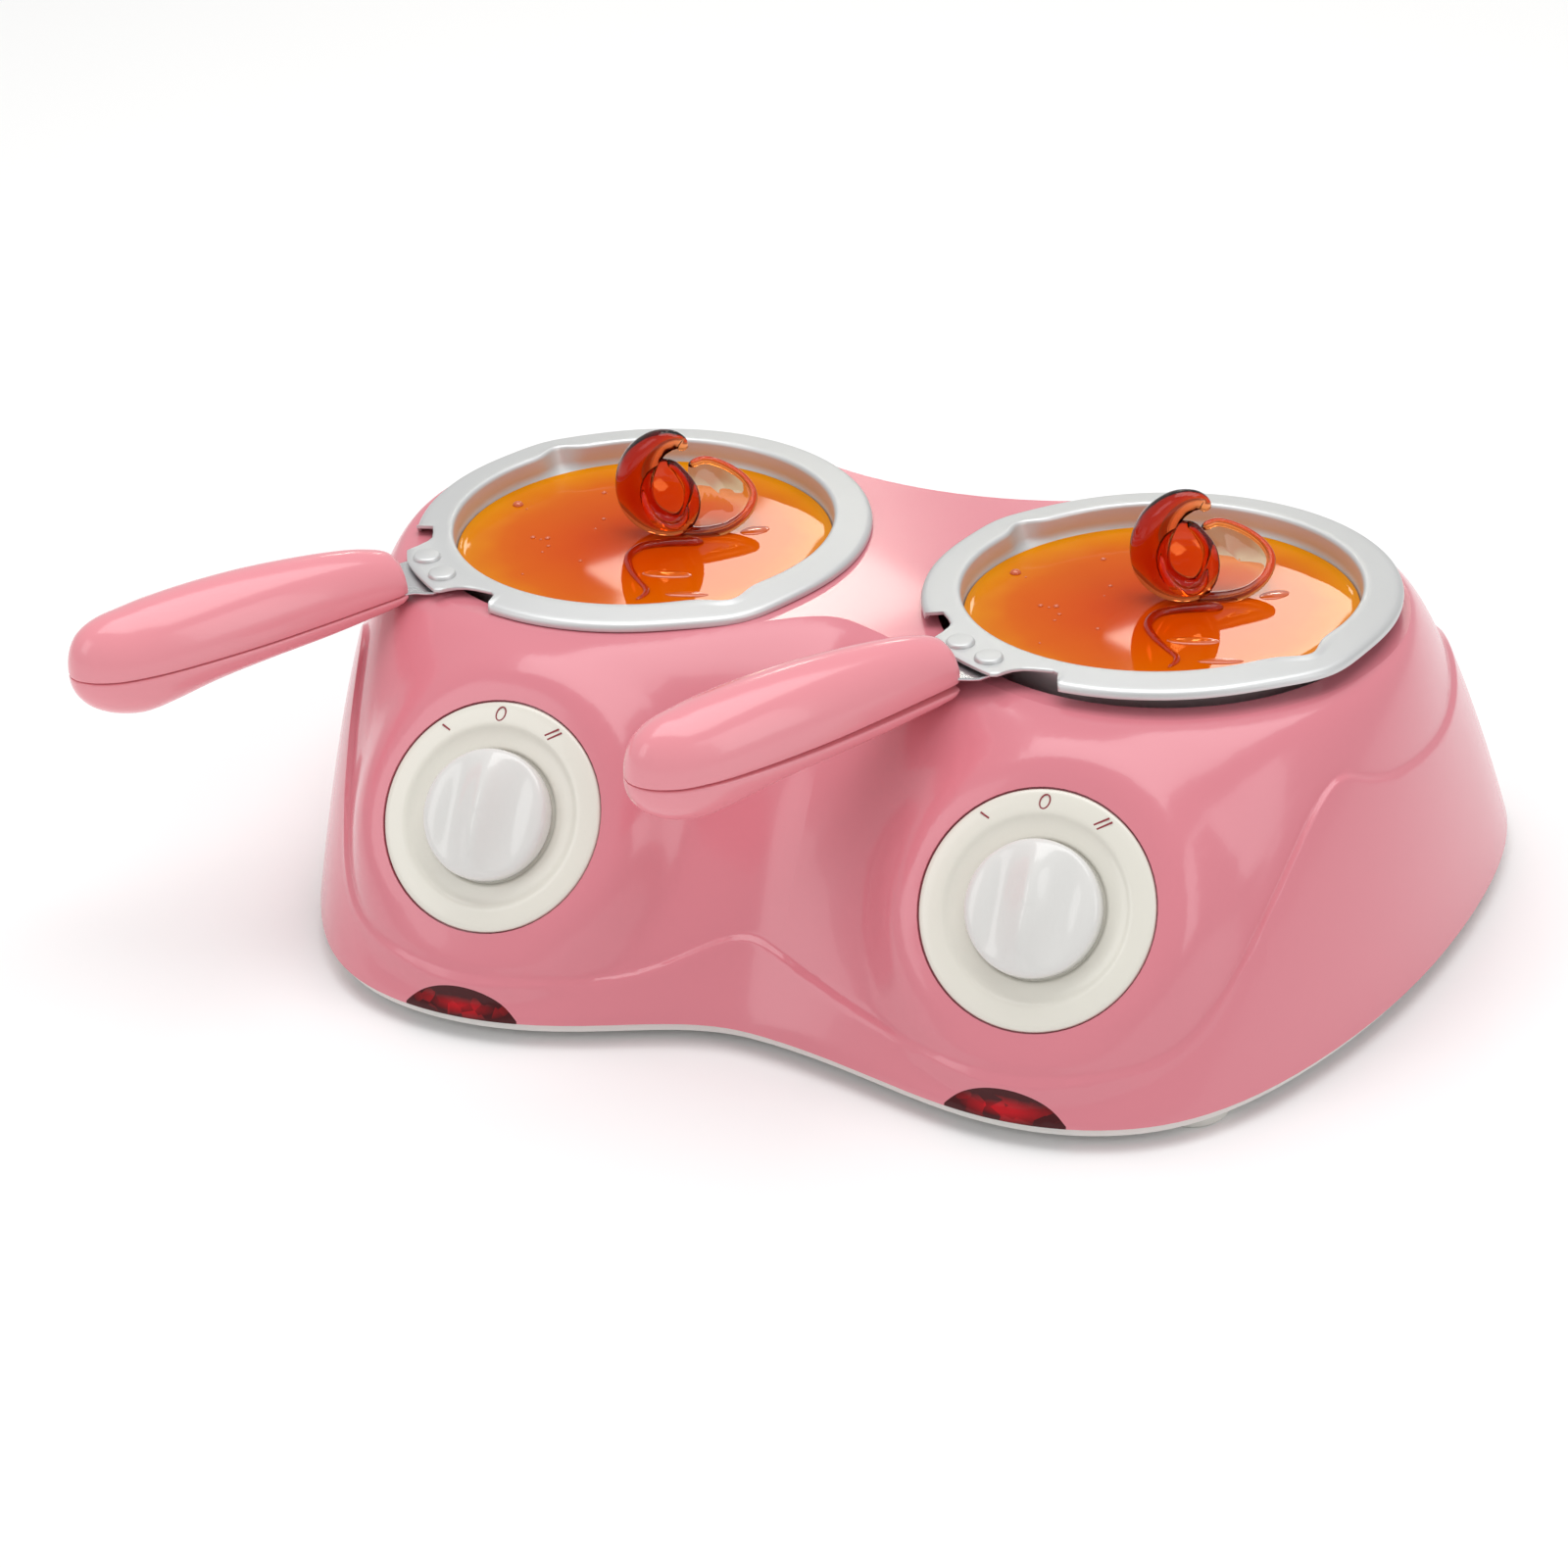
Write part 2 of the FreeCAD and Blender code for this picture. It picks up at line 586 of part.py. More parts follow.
def well_cup(side):
    """Sheet-metal cup under the cover's collar; it holds the heater and shields the cover."""
    floor_top = CUP_FLOOR_Z + CUP_WALL
    flange_z = COLLAR_BOTTOM_Z - CUP_WALL
    corner = 4.0
    inner = CUP_RADIUS - CUP_WALL
    profile = [(0, CUP_FLOOR_Z), (CUP_RADIUS - corner, CUP_FLOOR_Z), (CUP_RADIUS, CUP_FLOOR_Z + corner),
               (CUP_RADIUS, flange_z), (59.0, flange_z), (59.0, COLLAR_BOTTOM_Z), (inner, COLLAR_BOTTOM_Z),
               (inner, floor_top + corner - 0.4), (inner - corner + 0.4, floor_top), (0, floor_top)]
    cup = revolve(profile)
    lugs = [cylinder(4.0, CUP_WALL, polar(LUG_RADIUS, a, flange_z)) for a in LUG_ANGLES]
    inside = cylinder(inner, 2, Vector(0, 0, flange_z - 0.5))
    holes = [cylinder(PILOT_RADIUS, 3, polar(LUG_RADIUS, a, flange_z - 1)) for a in LUG_ANGLES]
    holes += [cylinder(PILOT_RADIUS, 3, polar(BOSS_RING, a, CUP_FLOOR_Z - 1)) for a in BOSS_ANGLES]
    holes += [cylinder(ELEMENT_RADIUS + 0.3, 3, polar(ELEMENT_RING, a, CUP_FLOOR_Z - 1)) for a in (80, 100)]
    cup = cup.fuse(lugs).cut([inside] + holes)
    cup.translate(Vector(side * POT_X, 0, 0))
    return cup


def heating_plate(side):
    disc = revolve([(0, PLATE_BOTTOM_Z), (PLATE_RADIUS - 1, PLATE_BOTTOM_Z), (PLATE_RADIUS, PLATE_BOTTOM_Z + 1),
                    (PLATE_RADIUS, PLATE_TOP_Z - 1), (PLATE_RADIUS - 1, PLATE_TOP_Z), (0, PLATE_TOP_Z)])
    floor_top = CUP_FLOOR_Z + CUP_WALL
    tall = PLATE_BOTTOM_Z + 1 - floor_top
    bosses = [cylinder(4.0, tall, polar(BOSS_RING, a, floor_top)) for a in BOSS_ANGLES]
    holes = [cylinder(PILOT_RADIUS, 9, polar(BOSS_RING, a, floor_top - 1)) for a in BOSS_ANGLES]
    plate = disc.fuse(bosses).cut(holes)
    plate.translate(Vector(side * POT_X, 0, 0))
    return plate


def heating_element(side):
    """Sheathed ring under the heating plate, with two cold ends through the cup's floor."""
    level = PLATE_BOTTOM_Z - ELEMENT_RADIUS
    start = polar(ELEMENT_RING, 100, level)
    tangent = polar(1, 190)
    section = Part.Face(Part.Wire([Part.makeCircle(ELEMENT_RADIUS, start, tangent)]))
    ring = section.revolve(Vector(0, 0, 0), UP, 340)
    tall = level + ELEMENT_RADIUS - 11
    ends = [cylinder(ELEMENT_RADIUS, tall, polar(ELEMENT_RING, a, 11)) for a in (80, 100)]
    pins = [cylinder(1.2, 3, polar(ELEMENT_RING, a, 8)) for a in (80, 100)]
    element = ring.fuse(ends + pins)
    element.translate(Vector(side * POT_X, 0, 0))
    return element


def thermostat(side):
    """Snap-disc thermostat against the underside of the cup."""
    can = revolve([(0, 10.5), (7.0, 10.5), (7.0, 14.5), (8.5, 14.5), (8.5, CUP_FLOOR_Z), (0, CUP_FLOOR_Z)])
    tags = [Part.makeBox(6, 4, 0.8, Vector(x, -2, 11.5)) for x in (-12, 6)]
    body = can.fuse(tags)
    body.translate(Vector(side * POT_X, -28, 0))
    return body


def thermal_fuse(side):
    """Axial thermal cut-out held flat to the cup by a strap."""
    level = CUP_FLOOR_Z - 2.3
    fuse = cylinder(2.0, 13, Vector(-6.5, 0, level), X_AXIS)
    leads = cylinder(0.5, 25, Vector(-12.5, 0, level), X_AXIS)
    strap = Part.makeBox(5, 14, 0.8, Vector(-2.5, -7, CUP_FLOOR_Z - 0.8))
    body = fuse.fuse([leads, strap])
    body.translate(Vector(side * (POT_X - 34), 0, 0))
    return body


# ---------------------------------------------------------------- pot

def bowl_profile(offset):
    """Outside (offset 0) or inside of the bowl from the mouth down to its axis, as (radius, z)."""
    depth = BOWL_DEPTH + BOWL_WALL - offset
    mouth = MOUTH_RADIUS + BOWL_WALL - offset
    foot_radius = BOWL_FLOOR_RADIUS + BOWL_CORNER
    corner = BOWL_CORNER + BOWL_WALL - offset
    points = [(mouth, -3.0), (mouth - 0.9, -10.0)]
    centre = (foot_radius - BOWL_CORNER + 1.0, -depth + corner)
    for i in range(9):
        angle = math.radians(90 * i / 8)
        points.append((centre[0] + corner * math.cos(angle), centre[1] - corner * math.sin(angle)))
    points.append((0.0, -depth))
    return points


def pot_bowl():
    """Pressed aluminium pot: bowl, sloping rim with a turned-down edge, tab and two pouring dents."""
    outside = bowl_profile(0.0)
    inside = bowl_profile(BOWL_WALL)
    rim_top = [(MOUTH_RADIUS, 0.6), (MOUTH_RADIUS + 0.8, 1.0), (58.8, -0.3), (59.7, -0.8),
               (FLANGE_RADIUS, -1.9)]
    rim_under = [(59.0, -1.9), (58.4, -1.3), (52.6, -0.5), (MOUTH_RADIUS + BOWL_WALL, -1.0)]
    profile = list(reversed(inside)) + rim_top + rim_under + outside
    sector = Part.makeCylinder(FLANGE_RADIUS + 5, 6, Vector(0, 0, -3), UP, 2 * TAB_SECTOR)
    sector.rotate(Vector(0, 0, 0), UP, -TAB_SECTOR)
    sector = sector.cut(cylinder(TAB_ROOT, 6, Vector(0, 0, -3)))
    dent_z = SPOUT_RADIUS + SPOUT_FLOOR
    dents = [cylinder(SPOUT_RADIUS, 16, polar(48, a, dent_z), polar(1, a)) for a in (-90, 90)]
    points = [Vector(x, y, TAB_BOTTOM) for x, y in TAB_OUTLINE]
    tab = Part.Face(Part.makePolygon(points + points[:1])).extrude(UP * (TAB_TOP - TAB_BOTTOM))
    holes = [cylinder(RIVET_SHANK, 6, Vector(RIVET_RING, y, -3)) for y in (-RIVET_SPREAD, RIVET_SPREAD)]
    return revolve(profile).cut([sector] + dents).fuse([tab]).cut(holes)


def tang_plate(extra):
    """Flat outline of the tang, grown by extra on every side."""
    bottom = TANG_TOP - TANG_THICKNESS - extra
    near = [Vector(x, half + extra, bottom) for x, half in TANG_OUTLINE]
    far = [Vector(v.x, -v.y, v.z) for v in reversed(near)]
    face = Part.Face(Part.makePolygon(near + far + near[:1]))
    return face.extrude(UP * (TANG_THICKNESS + 2 * extra))


def tang(name):
    """Flat bracket riveted under the rim's tab; it narrows and runs into the handle."""
    skew = TAB_ANGLE[name] - HANDLE_ANGLE[name]
    places = [polar(RIVET_SPREAD, skew + turn, -4) for turn in (-90, 90)] + [Vector(HANDLE_SCREW_X, 0, -4)]
    return tang_plate(0.0).cut([cylinder(RIVET_SHANK, 6, place) for place in places])


def rivets(bowl):
    pieces = []
    for y in (-RIVET_SPREAD, RIVET_SPREAD):
        place = Vector(RIVET_RING, y, 0)
        base = TAB_TOP
        head = revolve([(0, base), (RIVET_HEAD, base), (RIVET_HEAD, base + 0.9), (RIVET_HEAD - 0.6, base + 1.4),
                        (0, base + 1.4)], place)
        shank = cylinder(RIVET_SHANK, 3, place + UP * (TANG_TOP - TANG_THICKNESS))
        pieces.append(head.fuse([shank]).cut([bowl]).Solids[0])
    return Part.makeCompound(pieces)


def half_section(name, distance, half_width, height, sign, drop):
    """D-shaped section: half an ellipse on the seam, closed by a straight line along the seam."""
    seam_z = SEAM_START[name] + SEAM_SLOPE[name] * distance
    seam = Vector(HANDLE_START[name] + distance, 0, seam_z + sign * (SEAM_GAP / 2 - drop))
    across = seam + Vector(0, half_width, 0)
    above = seam + UP * (sign * height)
    if height > half_width:
        ellipse = Part.Ellipse(above, across, seam)
    else:
        ellipse = Part.Ellipse(across, above, seam)
    begin = ellipse.parameter(across)
    if (ellipse.parameter(above) - begin) % (2 * math.pi) > math.pi:
        begin -= math.pi
    arc = ellipse.toShape(begin, begin + math.pi)
    closing = Part.makeLine(arc.valueAt(arc.LastParameter), arc.valueAt(arc.FirstParameter))
    return Part.Wire([arc, closing])


def shell_loft(name, sign, inset=0.0, drop=0.0):
    """Half of the handle on one side of the seam; a hollow is inset and drops through the seam."""
    first, last = HOLLOW_RANGE[sign] if inset else (0.0, HANDLE_STATIONS[-1][0])
    sections = []
    for distance, half_width, up_height, down_depth in HANDLE_STATIONS:
        height = (up_height if sign > 0 else down_depth) - inset + drop
        if first <= distance <= last:
            sections.append(half_section(name, distance, half_width - inset, height, sign, drop))
    return Part.makeLoft(sections, True, False)


def handle_upper(name):
    solid = shell_loft(name, 1)
    hollow = shell_loft(name, 1, SHELL_WALL, HOLLOW_DROP)
    boss = cylinder(4.2, 20, Vector(HANDLE_SCREW_X, 0, -5)).common(solid)
    pilot = cylinder(SCREW_RADIUS, 8.0, Vector(HANDLE_SCREW_X, 0, -4))
    return largest(solid.cut([hollow]).fuse([boss]).cut([tang_plate(TANG_SLACK), pilot]))


def handle_lower(name):
    solid = shell_loft(name, -1)
    boss = cylinder(5.0, 30, Vector(HANDLE_SCREW_X, 0, -28)).common(solid)
    hollow = shell_loft(name, -1, SHELL_WALL, HOLLOW_DROP)
    hole = cylinder(SCREW_RADIUS + 0.15, 30, Vector(HANDLE_SCREW_X, 0, -28))
    recess = cylinder(HEAD_RADIUS + 0.2, 20, Vector(HANDLE_SCREW_X, 0, -25.2))
    return largest(solid.cut([hollow]).fuse([boss]).cut([tang_plate(TANG_SLACK), hole, recess]))


def handle_screw():
    tip = Vector(HANDLE_SCREW_X, 0, 3.5)
    return pan_screw(tip, 3.5 + 5.2)


def wax():
    """Filled wax with the last of the pour still standing on it as a loop and a ribbon."""
    clearance = 0.1
    inside = [(r - clearance if r > clearance else r, z + clearance) for r, z in bowl_profile(BOWL_WALL)]
    below = [(r, z) for r, z in inside if z < WAX_LEVEL]
    pool = revolve([(0, WAX_LEVEL), (inside[1][0], WAX_LEVEL)] + below)
    loop = Part.makeTorus(8.0, 4.2, Vector(-7, 4, WAX_LEVEL + 11.0), Vector(0.35, 1, 0.1))
    ring = Part.makeTorus(10.0, 3.4, Vector(8, 9, WAX_LEVEL + 1.5), Vector(-0.3, -0.2, 1))
    return pool.fuse([loop, ring])


def on_pot(shape, name, frame):
    """Turn a pot piece to its tab's or handle's direction, lean it with the pot and set it in its well."""
    about_x, about_y, lift = POT_LEAN[name]
    centre = Vector(0, 0, 0)
    if frame == "tab":
        shape.rotate(centre, UP, TAB_ANGLE[name])
    if frame == "handle":
        shape.rotate(centre, UP, HANDLE_ANGLE[name])
        shape.translate(polar(RIVET_RING, TAB_ANGLE[name]))
    shape.rotate(centre, Y_AXIS, about_y)
    shape.rotate(centre, X_AXIS, about_x)
    shape.translate(Vector(SIDES[name] * POT_X, 0, RIM_Z + lift))
    return shape


def pot_nodes(name):
    bowl = pot_bowl()
    pieces = {
        "pot_bowl": (bowl, "tab"), "pot_rivets": (rivets(bowl), "tab"), "pot_tang": (tang(name), "handle"),
        "handle_upper_shell": (handle_upper(name), "handle"),
        "handle_lower_shell": (handle_lower(name), "handle"),
        "handle_screw": (handle_screw(), "handle"), "wax": (wax(), "none"),
    }
    return {f"{node}_{name}": on_pot(shape.copy(), name, frame) for node, (shape, frame) in pieces.items()}


def housing_nodes():
    outer = outer_solid()
    inner = inner_solid()
    nodes = {
        "top_cover": top_cover(outer, inner), "base_plate": base_plate(), "cord_gland": cord_gland(),
        "terminal_block": terminal_block(), "base_screws": base_screws(), "well_screws": well_screws(),
        "heating_plate_screws": plate_screws(), "switch_screws": switch_screws(),
    }
    for name, side in SIDES.items():
        for row, (x, y) in FEET.items():
            nodes[f"foot_{row}_{name}"] = foot(side, x, y)
        nodes[f"indicator_lens_{name}"] = indicator_lens(side, outer, inner)
        nodes[f"indicator_lamp_{name}"] = indicator_lamp(side)
        nodes[f"dial_plate_{name}"] = dial_plate(side)
        nodes[f"knob_{name}"] = knob(side)
        nodes[f"switch_shaft_{name}"] = switch_shaft(side)
        nodes[f"rotary_switch_{name}"] = rotary_switch(side)
        nodes[f"well_cup_{name}"] = well_cup(side)
        nodes[f"heating_plate_{name}"] = heating_plate(side)
        nodes[f"heating_element_{name}"] = heating_element(side)
        nodes[f"thermostat_{name}"] = thermostat(side)
        nodes[f"thermal_fuse_{name}"] = thermal_fuse(side)
    return nodes


def main():
    nodes = housing_nodes()
    for name in SIDES:
        nodes.update(pot_nodes(name))
    whole = FreeCAD.BoundBox()
    for shape in nodes.values():
        whole.add(shape.optimalBoundingBox(False, False))
    shift = Vector(-whole.Center.x, -whole.Center.y, 0)
    os.makedirs("parts", exist_ok=True)
    for name, shape in sorted(nodes.items()):
        shape.translate(shift)
        shape.exportStep(f"parts/{name}.step")
        print(name, "valid" if shape.isValid() else "INVALID", len(shape.Solids), round(shape.Volume, 1))
    print("origin shift", [round(v, 3) for v in shift])
    size = [round(length, 1) for length in (whole.XLength, whole.YLength, whole.ZLength)]
    print("size", size, "lowest", round(whole.ZMin, 2))


main()
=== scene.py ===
import json
import math
import random

import bpy
from mathutils import Matrix, Vector


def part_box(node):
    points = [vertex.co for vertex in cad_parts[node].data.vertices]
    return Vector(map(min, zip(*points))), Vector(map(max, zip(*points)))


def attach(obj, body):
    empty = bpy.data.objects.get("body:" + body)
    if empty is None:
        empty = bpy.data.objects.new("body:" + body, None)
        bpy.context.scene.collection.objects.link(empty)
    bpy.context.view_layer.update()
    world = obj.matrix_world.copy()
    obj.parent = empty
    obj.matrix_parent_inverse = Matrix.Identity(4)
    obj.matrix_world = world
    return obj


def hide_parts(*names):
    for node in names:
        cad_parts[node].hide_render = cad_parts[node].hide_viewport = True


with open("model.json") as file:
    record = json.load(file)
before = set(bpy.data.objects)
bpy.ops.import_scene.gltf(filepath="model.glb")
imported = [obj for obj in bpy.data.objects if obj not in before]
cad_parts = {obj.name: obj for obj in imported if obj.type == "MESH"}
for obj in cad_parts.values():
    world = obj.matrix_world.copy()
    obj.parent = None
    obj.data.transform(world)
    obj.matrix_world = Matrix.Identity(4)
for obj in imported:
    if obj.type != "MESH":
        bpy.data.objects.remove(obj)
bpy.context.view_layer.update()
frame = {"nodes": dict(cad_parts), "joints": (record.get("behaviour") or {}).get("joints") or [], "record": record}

MM = 0.001
SIDES = ("left", "right")
FULL_TURN = 2 * math.pi

# Sizes in millimetres and angles in degrees that the model's own boxes do not give.
RIM_ABOVE_COVER = 2.5
TAB_ANGLE = {"left": 226.1, "right": 236.4}
HANDLE_ANGLE = {"left": 232.7, "right": 234.6}
POT_LEAN = {"left": (0.0, 0.0, 0.0), "right": (-1.4, -1.6, 2.0)}
RIVET_RING = 58.4
RIVET_SPREAD = 5.7


def box_centre(node):
    low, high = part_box(node)
    return (low + high) / 2


def polar(radius, angle, z=0.0):
    return Vector((radius * math.cos(math.radians(angle)), radius * math.sin(math.radians(angle)), z))


PLATES = {side: box_centre(f"heating_plate_{side}") for side in SIDES}
MIDDLE = (PLATES["left"] + PLATES["right"]) / 2
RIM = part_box("top_cover")[1].z + RIM_ABOVE_COVER * MM
JOINTS = {joint["name"]: joint for joint in frame["joints"]}


def turn(angle, axis):
    return Matrix.Rotation(math.radians(angle), 4, axis)


def pot_frame(side):
    """Rim plane of a pot as it sits; z = 0 is the rim and x, y run as on the table."""
    about_x, about_y, lift = POT_LEAN[side]
    place = Matrix.Translation((PLATES[side].x, PLATES[side].y, RIM + lift * MM))
    return place @ turn(about_x, "X") @ turn(about_y, "Y")


def tab_frame(side):
    return pot_frame(side) @ turn(TAB_ANGLE[side], "Z")


def handle_frame(side):
    rivets = Matrix.Translation(polar(RIVET_RING * MM, TAB_ANGLE[side]))
    return pot_frame(side) @ rivets @ turn(HANDLE_ANGLE[side], "Z")


def dial_frame(side):
    joint = JOINTS[f"knob_{side}_turn"]
    normal = Vector(joint["axis"]).normalized()
    across = Vector((1.0, 0.0, 0.0))
    turned = Matrix((across, normal.cross(across), normal)).transposed().to_4x4()
    return Matrix.Translation(Vector(joint["pos_m"])) @ turned


# ---------------------------------------------------------------- camera, floor and light

CAMERA_AZIMUTH = 22.84
CAMERA_ELEVATION = 29.41
CAMERA_ROLL = -2.395
CAMERA_DISTANCE = 1017.6
CAMERA_LENS = 86.92
CAMERA_TARGET = Vector((-33.8, 0.0, -73.1))


def link(obj):
    bpy.context.scene.collection.objects.link(obj)
    return obj


def make_camera():
    """The camera looks at a point below the rims, given from the middle between the pots at rim height."""
    azimuth = math.radians(CAMERA_AZIMUTH)
    elevation = math.radians(CAMERA_ELEVATION)
    back = Vector((math.sin(azimuth) * math.cos(elevation), -math.cos(azimuth) * math.cos(elevation),
                   math.sin(elevation)))
    target = Vector((MIDDLE.x, MIDDLE.y, RIM)) + CAMERA_TARGET * MM
    right = (-back).cross(Vector((0, 0, 1))).normalized()
    up = right.cross(-back).normalized()
    axes = Matrix((right, up, back)).transposed().to_4x4() @ turn(CAMERA_ROLL, "Z")
    data = bpy.data.cameras.new("camera")
    data.lens = CAMERA_LENS
    data.sensor_width = 36.0
    data.clip_end = 20.0
    camera = link(bpy.data.objects.new("camera", data))
    camera.matrix_world = Matrix.Translation(target + back * CAMERA_DISTANCE * MM) @ axes
    bpy.context.scene.camera = camera
    return camera.matrix_world.translation.copy()


def area_light(name, size, power, matrix):
    data = bpy.data.lights.new(name, "AREA")
    data.shape = "RECTANGLE"
    data.size, data.size_y = size
    data.energy = power
    light = link(bpy.data.objects.new(name, data))
    light.matrix_world = matrix
    return light


def aimed(place, aim):
    place = Vector(place)
    return Matrix.Translation(place) @ (Vector(aim) - place).to_track_quat("-Z", "Y").to_matrix().to_4x4()


# The bright window that each pool of wax mirrors: a corner, and the directions and lengths of its sides, in
# millimetres on the wax; how high the light hangs above the wax; and how bright it is.
WINDOW_CORNER = Vector((24.2, 30.5))
WINDOW_ALONG = Vector((0.832, -0.555))
WINDOW_DOWN = Vector((-0.555, -0.832))
WINDOW_SIZE = (78.0, 60.0)
WINDOW_HEIGHT = 800.0
WINDOW_RADIANCE = 11.0
WINDOW_COLOUR = (1.0, 0.97, 0.84)


def window_light(side, eye):
    """Softbox placed so that its mirror image lies on the wax where the window shows."""
    pool = pot_frame(side) @ Matrix.Translation((0, 0, WAX_LEVEL * MM))
    local_eye = pool.inverted() @ eye
    grow = 1 + WINDOW_HEIGHT * MM / local_eye.z
    half = WINDOW_ALONG * WINDOW_SIZE[0] / 2 + WINDOW_DOWN * WINDOW_SIZE[1] / 2
    centre = (WINDOW_CORNER + half).to_3d() * MM
    mirrored = Vector((local_eye.x, local_eye.y, -local_eye.z))
    spot = centre + (centre - mirrored) * (grow - 1)
    axes = Matrix((WINDOW_ALONG.to_3d(), -WINDOW_DOWN.to_3d(), Vector((0, 0, 1)))).transposed().to_4x4()
    size = tuple(length * MM * grow for length in WINDOW_SIZE)
    power = WINDOW_RADIANCE * math.pi * size[0] * size[1]
    light = area_light(f"window_{side}", size, power, pool @ Matrix.Translation(spot) @ axes)
    light.data.color = WINDOW_COLOUR


# softboxes: (size, power, place), all of them aimed at the same point
SOFTBOXES = {
    "overhead_softbox": ((1.3, 0.9), 9.0, (0.0, 0.15, 1.3)),
    "front_left_softbox": ((0.6, 0.9), 2.4, (-0.9, -1.0, 0.9)),
    "right_softbox": ((0.5, 0.9), 2.2, (1.25, -0.35, 0.75)),
}
SOFTBOX_AIM = (0.0, 0.0, 0.05)
WORLD_STRENGTH = 0.62
FLOOR_HALF = 6.0


def make_lights(eye):
    for name, (size, power, place) in SOFTBOXES.items():
        area_light(name, size, power, aimed(place, SOFTBOX_AIM))
    for side in SIDES:
        window_light(side, eye)
    world = bpy.data.worlds.new("studio")
    world.use_nodes = True
    background = world.node_tree.nodes["Background"]
    background.inputs["Color"].default_value = (1.0, 1.0, 1.0, 1.0)
    background.inputs["Strength"].default_value = WORLD_STRENGTH
    bpy.context.scene.world = world


def make_floor():
    mesh = bpy.data.meshes.new("floor")
    corners = [(x * FLOOR_HALF, y * FLOOR_HALF, 0) for x, y in ((-1, -1), (1, -1), (1, 1), (-1, 1))]
    mesh.from_pydata(corners, [], [(0, 1, 2, 3)])
    floor = link(bpy.data.objects.new("floor", mesh))
    material = principled("floor_paper", (0.95, 0.95, 0.95, 1.0), 0.9)[0]
    mesh.materials.append(material)


# ---------------------------------------------------------------- materials

GRAIN_DEPTH = 0.0001


def srgb(red, green, blue):
    """Linear colour of an sRGB colour given from 0 to 255."""
    def linear(value):
        value /= 255.0
        return value / 12.92 if value <= 0.04045 else ((value + 0.055) / 1.055) ** 2.4
    return (linear(red), linear(green), linear(blue), 1.0)


def node(tree, kind, **inputs):
    made = tree.nodes.new(kind)
    for name, value in inputs.items():
        made.inputs[name.replace("_", " ")].default_value = value
    return made


def principled(name, colour, roughness, **sockets):
    material = bpy.data.materials.new(name)
    material.use_nodes = True
    shader = material.node_tree.nodes["Principled BSDF"]
    shader.inputs["Base Color"].default_value = colour
    shader.inputs["Roughness"].default_value = roughness
    for socket, value in sockets.items():
        shader.inputs[socket.replace("_", " ")].default_value = value
    return material, material.node_tree, shader


def mix_colours(tree, factor, first, second):
    mix = node(tree, "ShaderNodeMix")
    mix.data_type = "RGBA"
    mix.inputs[6].default_value = first
    mix.inputs[7].default_value = second
    tree.links.new(factor, mix.inputs[0])
    return mix.outputs[2]


def reach(tree, vector, scale, offset=(0.0, 0.0, 0.0)):
    """Length of vector * scale + offset."""
    scaled = node(tree, "ShaderNodeVectorMath")
    scaled.operation = "MULTIPLY_ADD"
    scaled.inputs[1].default_value = scale
    scaled.inputs[2].default_value = offset
    tree.links.new(vector, scaled.inputs[0])
    length = node(tree, "ShaderNodeVectorMath")
    length.operation = "LENGTH"
    tree.links.new(scaled.outputs["Vector"], length.inputs[0])
    return length.outputs["Value"]


def shifted(tree, value, factor, base):
    """base + value * factor."""
    total = node(tree, "ShaderNodeMath")
    total.operation = "MULTIPLY_ADD"
    total.inputs[1].default_value = factor
    tree.links.new(value, total.inputs[0])
    tree.links.new(base, total.inputs[2])
    return total.outputs["Value"]


def colour_ramp(tree, factor, stops):
    """Colour that changes with a factor through (position, colour) stops."""
    ramp = node(tree, "ShaderNodeValToRGB")
    elements = ramp.color_ramp.elements
    while len(elements) < len(stops):
        elements.new(0.5)
    for element, (position, colour) in zip(elements, stops):
        element.position = position
        element.color = colour
    tree.links.new(factor, ramp.inputs["Fac"])
    return ramp.outputs["Color"]


def bumped(tree, shader, height, strength, distance):
    bump = node(tree, "ShaderNodeBump", Strength=strength, Distance=distance)
    tree.links.new(height, bump.inputs["Height"])
    tree.links.new(bump.outputs["Normal"], shader.inputs["Normal"])


def relief(tree, shader, vector, scale, strength):
    """Fine moulding or rolling grain."""
    fine = node(tree, "ShaderNodeTexNoise", Scale=scale, Detail=2.0)
    tree.links.new(vector, fine.inputs["Vector"])
    bumped(tree, shader, fine.outputs["Fac"], strength, GRAIN_DEPTH)


def vary(tree, shader, colour, spread, roughness, rough_spread):
    """Slightly uneven colour and gloss from one soft noise."""
    place = node(tree, "ShaderNodeTexCoord").outputs["Object"]
    soft = node(tree, "ShaderNodeTexNoise", Scale=14.0, Detail=3.0)
    tree.links.new(place, soft.inputs["Vector"])
    darker = tuple(c * (1 - spread) for c in colour[:3]) + (1.0,)
    lighter = tuple(min(1.0, c * (1 + spread)) for c in colour[:3]) + (1.0,)
    tree.links.new(mix_colours(tree, soft.outputs["Fac"], darker, lighter), shader.inputs["Base Color"])
    gloss = node(tree, "ShaderNodeMapRange", To_Min=roughness - rough_spread, To_Max=roughness + rough_spread)
    tree.links.new(soft.outputs["Fac"], gloss.inputs["Value"])
    tree.links.new(gloss.outputs["Result"], shader.inputs["Roughness"])
    return place


def moulded(name, colour, roughness, coat=0.0, bump=0.04, bump_scale=900.0):
    material, tree, shader = principled(name, colour, roughness, Coat_Weight=coat, Coat_Roughness=0.05)
    place = vary(tree, shader, colour, 0.02, roughness, 0.03)
    relief(tree, shader, place, bump_scale, bump)
    return material


def metal(name, colour, roughness, bump=0.08, bump_scale=400.0, metallic=1.0):
    material, tree, shader = principled(name, colour, roughness, Metallic=metallic)
    place = vary(tree, shader, colour, 0.04, roughness, 0.05)
    relief(tree, shader, place, bump_scale, bump)
    return material


